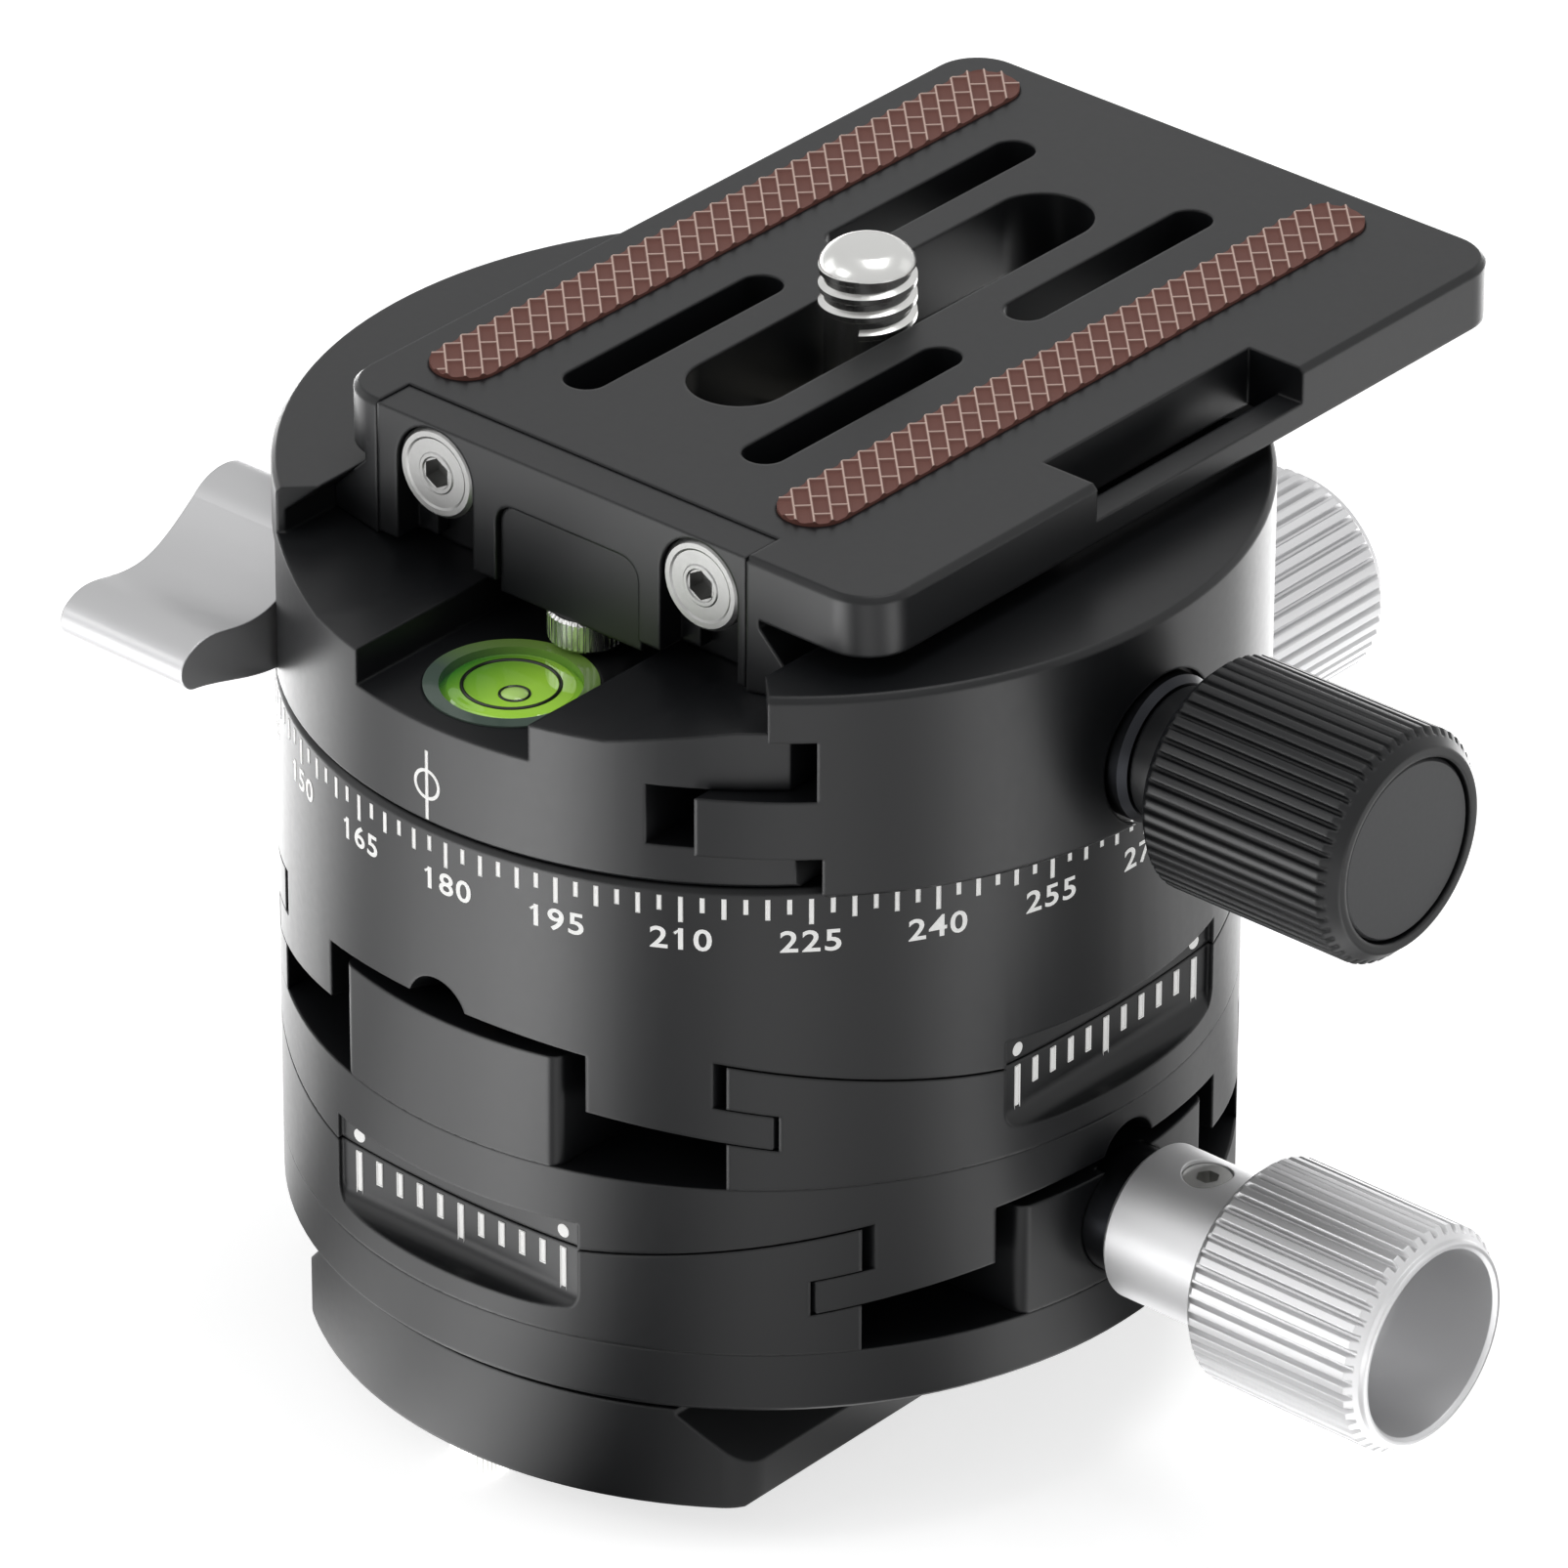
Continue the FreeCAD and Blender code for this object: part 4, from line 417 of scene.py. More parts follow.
def knurled_wall(knob, rear, end, chamfer):
    """Outline of a knob's wall, with steps where the grooves run out at its two chamfers."""
    radius, depth = knob.radius, knob.groove_depth
    return [
        (rear, radius - chamfer),
        (rear + chamfer - depth, radius - depth),
        (rear + chamfer, radius),
        (end - chamfer, radius),
        (end - chamfer + depth, radius - depth),
        (end, radius - chamfer),
    ]


def knurl(piece, ridges, low, high, radius, depth):
    """Sink straight grooves into the wall of a turned piece between two heights."""
    sides = ridges * FACES_PER_RIDGE
    tolerance = 0.2 * depth

    def in_groove(vertex):
        point = vertex.co
        if not low <= point.z <= high or abs(point.xy.length - radius) > tolerance:
            return False
        step = round(math.atan2(point.x, point.y) / math.tau * sides)
        return step % FACES_PER_RIDGE in GROOVE_STEPS

    ratio = (radius - depth) / radius
    edit_chosen(
        piece, "VERT", in_groove, bpy.ops.transform.resize,
        value=(ratio, ratio, 1.0), center_override=ORIGIN,
    )


def boolean(piece, tool, operation):
    """Cut, keep or join with another solid, which is used up."""
    apply_modifier(piece, "BOOLEAN", operation=operation, object=tool, solver="EXACT")
    bpy.data.objects.remove(tool)


def copy_piece(piece, name):
    """A copy with its own mesh."""
    other = piece.copy()
    other.data = piece.data.copy()
    other.name = other.data.name = name
    bpy.context.scene.collection.objects.link(other)
    return other


def join_pieces(name, pieces):
    """Make one mesh of several."""
    clear_selection()
    for piece in pieces:
        piece.select_set(True)
    bpy.context.view_layer.objects.active = pieces[0]
    bpy.ops.object.join()
    pieces[0].name = pieces[0].data.name = name
    return pieces[0]


def paint(piece, finish):
    """Give a piece one finish all over."""
    piece.data.materials.clear()
    piece.data.materials.append(bpy.data.materials[finish])


def pair_of(piece, name, first, second):
    """Two of a piece, each moved to its place, as one mesh."""
    other = copy_piece(piece, piece.name + "_other")
    return join_pieces(name, [place(piece, first), place(other, second)])


def hand_over(piece, body, finish="engraving paint", nodes=()):
    """Paint a finished piece and let it ride on its body in place of the nodes it stands for."""
    paint(piece, finish)
    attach(piece, body)
    if nodes:
        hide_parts(*nodes)


def middle_of(node):
    """Centre of a node's box."""
    low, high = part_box(node)
    return (low + high) / 2.0


def at(x, y, z):
    """Move to a spot."""
    return Matrix.Translation((x, y, z))


def quarter(axis):
    """Quarter turn about an axis."""
    return Matrix.Rotation(math.pi / 2, 4, axis)


def upper_stage():
    """Move from the lower tilt stage to the upper one, which stands a quarter turn round."""
    return at(0, 0, middle_of("upper_knob").z - middle_of("lower_knob").z) @ quarter("Z")


# Materials.
def add_node(tree, kind, settings=None, links=None):
    """Add a node, set its values and link its inputs."""
    node = tree.nodes.new("ShaderNode" + kind)
    for key, value in (settings or {}).items():
        if isinstance(key, int) or key in node.inputs:
            node.inputs[key].default_value = value
        else:
            setattr(node, key, value)
    for key, source in (links or {}).items():
        tree.links.new(source, node.inputs[key])
    return node


def new_finish(name, colour, metallic, roughness, more=None):
    """The shader of a new material."""
    material = bpy.data.materials.new(name)
    material.use_nodes = True
    shader = material.node_tree.nodes["Principled BSDF"]
    values = {"Base Color": (*colour, 1.0), "Metallic": metallic, "Roughness": roughness}
    for key, value in {**values, **(more or {})}.items():
        shader.inputs[key].default_value = value
    return shader


def place_on_object(tree):
    """Coordinates in metres that stay with the piece."""
    return add_node(tree, "TexCoord").outputs["Object"]


def grain_of(tree, size, **settings):
    """Noise over a piece with a grain of the given size in metres."""
    settings["Scale"] = 1.0 / size
    links = {"Vector": place_on_object(tree)}
    return add_node(tree, "TexNoise", settings, links).outputs["Fac"]


def vary_roughness(shader, grain, low, high):
    """Let the gloss wander between two values over a grain."""
    tree = shader.id_data
    span = add_node(
        tree, "MapRange", {"To Min": low, "To Max": high}, {"Value": grain_of(tree, grain)}
    )
    tree.links.new(span.outputs["Result"], shader.inputs["Roughness"])


def soft_edges(shader, radius):
    """Edges broken to a small radius, so that they catch the light."""
    tree = shader.id_data
    edge = add_node(tree, "Bevel", {"samples": 6, "Radius": radius})
    tree.links.new(edge.outputs["Normal"], shader.inputs["Normal"])
    return edge.outputs["Normal"]


def blast_grain(shader, grain, depth, normal=None):
    """Fine dimples of bead blasting, on top of another normal where one is given."""
    tree = shader.id_data
    links = {"Height": grain_of(tree, grain, Detail=1.0)}
    if normal:
        links["Normal"] = normal
    bump = add_node(tree, "Bump", {"Strength": 0.5, "Distance": depth}, links)
    tree.links.new(bump.outputs["Normal"], shader.inputs["Normal"])


def grade(shader, axis, start, end, first, second):
    """Base colour that runs from one tone to another between two places on an axis."""
    tree = shader.id_data
    along = add_node(tree, "SeparateXYZ", links={"Vector": place_on_object(tree)})
    span = {"From Min": start, "From Max": end}
    share = add_node(tree, "MapRange", span, {"Value": along.outputs[axis]})
    # A mix of colours takes its tones from inputs 6 and 7 and gives output 2.
    tone = add_node(
        tree, "Mix", {"data_type": "RGBA", 6: (*first, 1.0), 7: (*second, 1.0)},
        {0: share.outputs["Result"]},
    ).outputs[2]
    tree.links.new(tone, shader.inputs["Base Color"])
    return tone


class HEAD_OT_finishes(bpy.types.Operator):
    """Make the metals, rubber, paint and fluid"""

    bl_idname = "geared_head.finishes"
    bl_label = "Finishes"

    def execute(self, context):
        colours = context.scene.head_finishes

        # Aluminium turned, blasted, anodised and dyed black: deep satin black with a soft sheen.
        shader = new_finish(
            "black anodised aluminium", colours.black, 0.0, 0.4, {"Specular IOR Level": 0.3}
        )
        vary_roughness(shader, 0.6 * MM, 0.34, 0.4)
        soft_edges(shader, 0.3 * MM)

        # Aluminium blasted with glass beads and clear anodised: bright, soft and slightly grainy.
        shader = new_finish("blasted silver aluminium", colours.silver, 1.0, 0.5)
        blast_grain(shader, 0.16 * MM, 0.004 * MM, soft_edges(shader, 0.12 * MM))

        # The same blasted aluminium, a shade greyer on the lever as painted shade.
        shader = new_finish("shaded blasted aluminium", colours.lever, 1.0, 0.42)
        blast_grain(shader, 0.16 * MM, 0.004 * MM, soft_edges(shader, 0.2 * MM))

        # Stainless steel, turned: bright, with a gloss that wanders a little.
        shader = new_finish("turned stainless steel", colours.stainless, 1.0, 0.26)
        vary_roughness(shader, 2.0 * MM, 0.22, 0.28)

        # Zinc-plated steel of the socket screws: greyer than stainless and softly mottled.
        shader = new_finish("zinc-plated steel", linear("#868685"), 1.0, 0.38)
        vary_roughness(shader, 0.25 * MM, 0.3, 0.5)
        blast_grain(shader, 0.3 * MM, 0.01 * MM)

        # Steel, turned and blackened with oil: nearly black, half glossy.
        shader = new_finish("blackened steel", colours.dark_steel, 1.0, 0.34)
        vary_roughness(shader, 0.5 * MM, 0.28, 0.38)

        # Bronze as machined: warm and slightly dull.
        shader = new_finish("machined bronze", colours.bronze, 1.0, 0.35)
        vary_roughness(shader, 0.4 * MM, 0.3, 0.42)

        # Nylon, turned: milky and waxy.
        shader = new_finish("white nylon", linear("#d8d4c8"), 0.0, 0.45)
        vary_roughness(shader, 0.5 * MM, 0.42, 0.5)

        # Aluminium disc, blasted and dyed black: a flat, even dark grey.
        shader = new_finish("black cap", linear("#222325"), 0.0, 0.5)
        vary_roughness(shader, 0.3 * MM, 0.46, 0.54)

        # Paint wiped into engraved marks: chalky white, with a painted glow.
        new_finish(
            "engraving paint", colours.marks, 0.0, 0.55,
            {"Emission Color": (*colours.marks, 1.0), "Emission Strength": 0.35},
        )

        # Paint of the ring on the vial: glossy black.
        new_finish("vial ring paint", linear("#10160c"), 0.0, 0.3)

        # Acrylic of the vial: glossy, its colour painted from grey to lime along Y, as painted
        # light from the fluid on one side.
        shader = new_finish("clear acrylic", linear("#5d6d62"), 0.0, 0.08)
        middle = middle_of("level_housing").y
        grade(
            shader, "Y", middle - 1.5 * MM, middle + 5.5 * MM, linear("#55655c"), linear("#8fb854")
        )

        # Fluid of the level under acrylic: fluorescent lime and very glossy, with a painted glow,
        # and painted shade that darkens it to deep green towards one side.
        shader = new_finish(
            "vial fluid", colours.fluid, 0.0, 0.06, {"Coat Weight": 1.0, "Emission Strength": 0.08}
        )
        # Painted shade: the fluid turns deep green towards -X, and the painted glow follows the
        # same tones.
        tone = grade(shader, "X", -4.2 * MM, 1.2 * MM, linear("#2f7d2c"), colours.fluid)
        shader.id_data.links.new(tone, shader.inputs["Emission Color"])

        # Air bubble in the fluid: paler than the fluid.
        new_finish("air bubble", linear("#cbf58a"), 0.0, 0.05)

        # Rubber moulded with a raised weave: matt red-brown, with the ridge tops painted pale as a
        # painted highlight.
        shader = new_finish("grip rubber", colours.rubber, 0.0, 0.7)
        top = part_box("grip_left")[1].z
        # Painted highlight: the tops of the ridges turn pale.
        grade(shader, "Z", top - 0.08 * MM, top - 0.01 * MM, colours.rubber, colours.rubber_ridge)
        blast_grain(shader, 0.2 * MM, 0.01 * MM)
        return {"FINISHED"}


class HEAD_OT_machined_bodies(bpy.types.Operator):
    """Paint the frame's pieces, with the walls that are seen merged and smoothed"""

    bl_idname = "geared_head.machined_bodies"
    bl_label = "Machined bodies"

    def execute(self, context):
        for slot, finish, nodes in NODE_FINISHES:
            for node in nodes:
                source = frame["nodes"][node]
                if node not in OUTER_NODES:
                    paint(source, finish)
                    continue
                skin = copy_piece(source, node + "_surface")
                skin.parent = None
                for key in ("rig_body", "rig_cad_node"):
                    del skin[key]
                edit_all(skin, bpy.ops.mesh.remove_doubles, threshold=WELD_DISTANCE)
                bpy.ops.mesh.customdata_custom_splitnormals_clear()
                if node in ("middle_body", "drum"):
                    boolean(skin, self.rocker_seat(node), "DIFFERENCE")
                if node == "bottom_plate":
                    for cutter in self.foot_corners():
                        boolean(skin, cutter, "DIFFERENCE")
                smooth(skin)
                apply_modifier(skin, "WEIGHTED_NORMAL", keep_sharp=True)
                hand_over(skin, source["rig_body"], finish, [node])
        return {"FINISHED"}

    def rocker_seat(self, node):
        """The scale's flat seat carried on up the rocker above it."""
        seat = block(
            "rocker_seat", (0.0, -(SEAT_PLANE + SEAT_CUT / 2.0), RAIL_TOP),
            (2 * SEAT_HALF_WIDTH, SEAT_CUT, SEAT_HEIGHT),
        )
        if node == "drum":
            place(seat, upper_stage())
        return seat

    def foot_corners(self):
        """Cutters that round the foot's four upright corners."""
        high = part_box("bottom_plate")[1]
        centre_x = high.x - FOOT_CORNER
        centre_y = math.sqrt((high.y - FOOT_CORNER) ** 2 - centre_x ** 2)
        width = 4 * MM
        clear_selection()
        bpy.ops.mesh.primitive_plane_add(
            size=1.0, location=(FOOT_CORNER + width / 2.0, 0.0, high.z / 2.0),
            rotation=(math.pi / 2, 0.0, 0.0),
        )
        bpy.context.object.scale = (width, 3 * high.z, 1.0)
        wedge = name_new("foot_corner")
        spin(wedge, 12, -math.atan2(centre_y, centre_x))
        cutters = []
        for side in (-1.0, 1.0):
            for end in (-1.0, 1.0):
                cutter = copy_piece(wedge, "foot_corner")
                place(cutter, Matrix.Diagonal((side, end, 1.0, 1.0)) @ at(centre_x, centre_y, 0.0))
                face_outwards(cutter)
                cutters.append(cutter)
        bpy.data.objects.remove(wedge)
        return cutters


class HEAD_OT_tilt_knobs(bpy.types.Operator):
    """Fluted silver knobs with a hollow end and a set screw in the collar"""

    bl_idname = "geared_head.tilt_knobs"
    bl_label = "Tilt knobs"

    def execute(self, context):
        knob = context.scene.head_tilt_knob
        low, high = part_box("lower_knob")
        end = high.x
        rear = low.x + knob.collar_length
        chamfer = 0.7 * MM
        smooth_lip = 0.45 * MM
        rim = knob.radius - chamfer - 0.05 * MM
        cup = rim - 0.4 * MM
        floor = end - knob.cup_depth
        outline = [
            *points_at(low.x, knob.collar_radius, (0.0, -0.35), (0.35, 0.0)),
            *points_at(rear, knob.collar_radius, (-0.25, 0.0), (0.0, -0.2)),
            *knurled_wall(knob, rear, end - smooth_lip, chamfer),
            *points_at(end, rim, (-0.12, 0.0), (0.0, -0.12)),
            *points_at(end, cup, (0.0, 0.05), (-0.25, -0.15)),
            *points_at(floor, cup, (2.2, -0.55), (1.1, -0.9), (0.3, -1.7), (0.0, -2.8)),
            (floor, PINHOLE),
        ]
        lower = turned("lower_knob_fluted", knob.ridges * FACES_PER_RIDGE, outline)
        knurl(lower, knob.ridges, rear, end, knob.radius, knob.groove_depth)
        place(lower, at(0, 0, middle_of("lower_knob").z) @ quarter("Y"))
        screw_low, screw_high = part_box("lower_knob_screw")
        centre = (screw_low + screw_high) / 2.0
        hole_radius = (screw_high.x - screw_low.x) / 2.0 + 0.06 * MM
        length = 10 * MM
        spot = (centre.x, centre.y, screw_low.z + length / 2.0)
        hole = rod("set_screw_hole", 48, hole_radius, length, spot)
        boolean(lower, hole, "DIFFERENCE")
        smooth(lower)
        upper = copy_piece(lower, "upper_knob_fluted")
        place(upper, upper_stage())
        silver = "blasted silver aluminium"
        hand_over(lower, "lower_drive", silver, ["lower_knob"])
        hand_over(upper, "upper_drive", silver, ["upper_knob"])
        return {"FINISHED"}


class HEAD_OT_clamp_knob(bpy.types.Operator):
    """Ridged black knob with a recess for its end cap"""

    bl_idname = "geared_head.clamp_knob"
    bl_label = "Clamp knob"

    def execute(self, context):
        knob = context.scene.head_clamp_knob
        low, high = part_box("clamp_knob")
        rear = low.x + knob.neck_length
        end = high.x
        chamfer = 0.75 * MM
        smooth_lip = 0.3 * MM
        outline = [
            *points_at(low.x, knob.neck_radius, (0.0, -0.2), (0.2, 0.0)),
            (rear, knob.neck_radius),
            *knurled_wall(knob, rear, end - smooth_lip, chamfer),
            (end, knob.radius - chamfer - 0.25 * MM),
            (end, knob.cap_radius),
            (end - knob.cap_depth, knob.cap_radius),
            (end - knob.cap_depth, PINHOLE),
        ]
        piece = turned("clamp_knob_ridged", knob.ridges * FACES_PER_RIDGE, outline)
        knurl(piece, knob.ridges, rear, end, knob.radius, knob.groove_depth)
        place(piece, at(0, 0, middle_of("clamp_knob").z) @ quarter("Y"))
        smooth(piece)
        black = "black anodised aluminium"
        hand_over(piece, "clamp_drive", black, ["clamp_knob"])
        return {"FINISHED"}


class HEAD_OT_camera_screw(bpy.types.Operator):
    """Quarter-inch screw with a cut thread and a slotted head"""

    bl_idname = "geared_head.camera_screw"
    bl_label = "Camera screw"

    def execute(self, context):
        screw = context.scene.head_screw
        low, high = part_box("camera_screw")
        centre = middle_of("camera_screw")
        head_radius = (high.x - low.x) / 2.0
        root = screw.root_radius
        crest = screw.thread_radius
        head_top = low.z + 2.9 * MM
        shank_top = high.z - 1.35 * MM
        thread_top = high.z - 1.3 * MM
        thread_start = math.radians(-60)
        outline = [
            *points_at(low.z, head_radius, (0.0, -0.4), (0.4, 0.0)),
            *points_at(head_top, head_radius, (-0.3, 0.0), (0.0, -0.3)),
            (head_top, root),
            (shank_top, root),
            *points_at(high.z, crest, (-1.2, -0.06), (-1.0, -0.1), (-0.55, -0.42)),
            *points_at(high.z, crest, (-0.2, -0.85), (-0.05, -1.15), (0.0, -1.3)),
            (high.z, PINHOLE),
        ]
        core = turned("camera_screw_threaded", 96, outline)

        # The thread's section is wound up as a coil and joined to the core.
        coil = sheet("thread_coil", 1.0)
        foot = root - 0.25 * MM
        half_foot = 0.49 * screw.pitch
        half_crest = 0.17 * MM
        corners = ((foot, -half_foot), (crest, -half_crest), (foot, half_foot), (crest, half_crest))
        for vertex, (reach, rise) in zip(coil.data.vertices, corners):
            vertex.co = Vector((reach, 0.0, rise))
        edit_all(coil, bpy.ops.mesh.delete, type="ONLY_FACE")
        apply_modifier(
            coil, "SCREW", axis="Z", angle=math.tau, screw_offset=screw.pitch,
            iterations=screw.turns, steps=72, render_steps=72, use_merge_vertices=True,
            merge_threshold=0.0001 * MM,
        )
        edit_open_edges(coil)
        bpy.ops.mesh.fill()
        face_outwards(coil)
        start = thread_top - screw.pitch * screw.turns
        place(coil, at(0, 0, start) @ Matrix.Rotation(thread_start, 4, "Z"))
        boolean(core, coil, "UNION")

        slot = block("coin_slot", (0, 0, low.z), (20 * MM, 1.4 * MM, 3.0 * MM))
        boolean(core, slot, "DIFFERENCE")
        place(core, at(centre.x, centre.y, 0.0))
        smooth(core, math.radians(40))
        hand_over(core, "camera_bolt", "turned stainless steel", ["camera_screw"])
        return {"FINISHED"}


class HEAD_OT_grips(bpy.types.Operator):
    """Two rubber strips with a raised diagonal weave"""

    bl_idname = "geared_head.grips"
    bl_label = "Grips"

    def execute(self, context):
        grip = context.scene.head_grip
        low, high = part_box("grip_left")
        half_width = (high.x - low.x) / 2.0
        half_length = (high.y - low.y) / 2.0
        cells = 2 * math.ceil((half_length + half_width) / math.sqrt(2.0) / grip.cell) + 2
        clear_selection()
        bpy.ops.mesh.primitive_grid_add(
            x_subdivisions=cells, y_subdivisions=cells, size=cells * grip.cell,
            location=(0, 0, high.z), rotation=(0, 0, math.radians(45)),
        )
        weave = name_new("grip_weave")
        diagonal = math.sqrt(0.5)
        margin = 1.5 * grip.cell

        def is_far(face):
            spot = face.center
            return abs(spot.x) > half_width + margin or abs(spot.y) > half_length + margin

        edit_chosen(weave, "FACE", is_far, bpy.ops.mesh.delete, type="FACE")

        # Cells are joined in pairs, each row set off by one cell, like bricks in a wall.
        def inside_pair(edge):
            a, b = (weave.data.vertices[i].co for i in edge.vertices)
            spot = (a + b) / 2.0
            across = (spot.x + spot.y) * diagonal / grip.cell
            along = (spot.x - spot.y) * diagonal / grip.cell
            crosswise = abs((a - b).x + (a - b).y) > grip.cell
            row = math.floor(across + 1e-3)
            return crosswise and (round(along) + row) % 2 == 0

        edit_only(weave, "EDGE", inside_pair)
        bpy.ops.mesh.dissolve_edges(use_verts=False)
        bpy.ops.mesh.select_all(action="SELECT")
        for width, depth in ((grip.ridge, grip.ridge_height), (0.1 * MM, 0.02 * MM)):
            bpy.ops.mesh.inset(thickness=width, depth=0.0, use_individual=True)
            bpy.ops.transform.translate(value=(0, 0, -depth))

        # The open sheet becomes a solid, and the strip's outline is cut out of it.
        edit_open_edges(weave)
        bpy.ops.mesh.extrude_region_move(TRANSFORM_OT_translate={"value": (0, 0, -3 * MM)})
        bpy.ops.mesh.edge_face_add()
        face_outwards(weave)
        spare = 1 * MM
        outline = rod(
            "grip_outline", 64, half_width, high.z - low.z + spare,
            (0, 0, (high.z + low.z + spare) / 2.0),
        )
        straight = half_length - half_width
        for side in (1.0, -1.0):
            edit_chosen(
                outline, "VERT", lambda vertex: side * vertex.co.y > side * 0.01 * MM,
                bpy.ops.transform.translate, value=(0.0, side * straight, 0.0),
            )
        boolean(weave, outline, "INTERSECT")
        smooth(weave, math.radians(20))
        right = copy_piece(weave, "grip_right_woven")
        weave.name = weave.data.name = "grip_left_woven"
        for piece, node in ((weave, "grip_left"), (right, "grip_right")):
            centre = middle_of(node)
            place(piece, at(centre.x, centre.y, 0.0))
            hand_over(piece, "plate", "grip rubber", [node])
        return {"FINISHED"}


class HEAD_OT_level(bpy.types.Operator):
    """Round bubble level with its ring and bubble"""

    bl_idname = "geared_head.level"
    bl_label = "Bubble level"

    def execute(self, context):
        low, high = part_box("level_vial")
        centre = (low + high) / 2.0
        radius = (high.x - low.x) / 2.0
        top = high.z
        outline = [
            *points_at(low.z, radius, (0.0, -0.1), (0.1, 0.0)),
            *points_at(top, radius, (-0.5, 0.0), (-0.1, -0.5), (0.0, -1.1)),
            (top, 2.0 * MM),
            (top, PINHOLE),
        ]
        vial = turned("level_vial_fluid", 96, outline)
        place(vial, at(centre.x, centre.y, 0.0))
        smooth(vial)
        hand_over(vial, "turntable", "vial fluid", ["level_vial"])
        bubble_x = centre.x + 0.95 * MM
        bubble_y = centre.y - 0.75 * MM
        for name, reach, thickness, steps, spot in (
            ("level_circle", 3.1 * MM, 0.13 * MM, (96, 12), (centre.x, centre.y, top)),
            ("level_bubble_edge", 0.95 * MM, 0.1 * MM, (64, 10), (bubble_x, bubble_y, top)),
        ):
            ring = hoop(name, reach, thickness, steps, spot)
            smooth(ring)
            hand_over(ring, "turntable", finish="vial ring paint")
        dome = points_at(0, 0, (0.0, 0.9), (0.05, 0.85), (0.16, 0.5), (0.2, 0.1))
        bubble = turned("level_bubble", 48, dome)
        place(bubble, at(bubble_x, bubble_y, top - 0.02 * MM))
        smooth(bubble, math.radians(60))
        hand_over(bubble, "turntable", finish="air bubble")
        return {"FINISHED"}


class HEAD_OT_lip_screws(bpy.types.Operator):
    """Two zinc-plated socket screws that hold the stop lip"""

    bl_idname = "geared_head.lip_screws"
    bl_label = "Lip screws"

    def execute(self, context):
        low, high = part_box("stop_lip_screws")
        centre = (low + high) / 2.0
        radius = (high.z - low.z) / 2.0
        front = -low.y
        rear = -high.y
        seat = front - 1.9 * MM
        shank = 1.5 * MM
        outline = [
            (rear, shank),
            (seat, shank),
            (seat, radius),
            *points_at(front, radius, (-0.25, 0.0), (0.0, -0.25), (0.0, -0.6), (-0.08, -0.75)),
            *points_at(front, 0.0, (-0.08, 1.45), (0.0, 1.35), (0.0, 1.15), (-0.1, 1.05)),
            (front - 0.1 * MM, PINHOLE),
        ]
        screw = turned("lip_screw_left", 72, outline)
        socket = rod("hex_socket", 6, 1.05 * MM, 2.6 * MM, (0, 0, front))
        boolean(screw, socket, "DIFFERENCE")
        smooth(screw)
        left = at(low.x + radius, 0.0, centre.z) @ quarter("X")
        right = at(high.x - radius, 0.0, centre.z) @ quarter("X")
        pair = pair_of(screw, "lip_screws_turned", left, right)
        hand_over(pair, "plate", "zinc-plated steel", ["stop_lip_screws"])
        return {"FINISHED"}


class HEAD_OT_stop_screws(bpy.types.Operator):
    """Knurled stop screws under the camera plate and under the foot"""

    bl_idname = "geared_head.stop_screws"
    bl_label = "Stop screws"

    def execute(self, context):
        for node, body, name, head_height in (
            ("plate_stop_screws", "plate", "plate_stop_screws_knurled", 2.2 * MM),
            ("bottom_stop_screws", "base", "bottom_stop_screws_knurled", 2.5 * MM),
        ):
            low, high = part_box(node)
            radius = (high.x - low.x) / 2.0
            shank = 1.2 * MM
            head_top = low.z + head_height
            ridges = 40
            outline = [
                *points_at(low.z, radius, (0.0, -0.25), (0.25, 0.0)),
                *points_at(head_top, radius, (-0.2, 0.0), (0.0, -0.2)),
                (head_top, shank),
                (high.z, shank),
            ]
            screw = turned(name, ridges * FACES_PER_RIDGE, outline)
            knurl(screw, ridges, low.z, head_top, radius, 0.13 * MM)
            socket = rod("hex_socket", 6, 1.0 * MM, 2.4 * MM, (0, 0, low.z))
            boolean(screw, socket, "DIFFERENCE")
            smooth(screw)
            middle = (low.x + high.x) / 2.0
            rear = at(middle, high.y - radius, 0.0)
            pair = pair_of(screw, name, at(middle, low.y + radius, 0.0), rear)
            hand_over(pair, body, "turned stainless steel", [node])
        return {"FINISHED"}


def wall_frame(angle, height, radius):
    """Place on the round wall: X along the wall, Y up, Z outwards."""
    turn = Matrix.Rotation(angle + math.pi / 2, 4, "Z")
    return turn @ at(0.0, -radius, height) @ quarter("X")


def mark(name, width, length):
    """A filled mark in the XY plane that stands proud of its wall by a hair."""
    bar = block(name, (0, 0, MARK_PROUD - MARK_DEPTH / 2.0), (width, length, MARK_DEPTH))
    edit_chosen(
        bar, "FACE", lambda face: abs(face.normal.z) > 0.9, bpy.ops.mesh.bevel,
        offset=width * 0.2, segments=1, affect="EDGES",
    )
    return bar


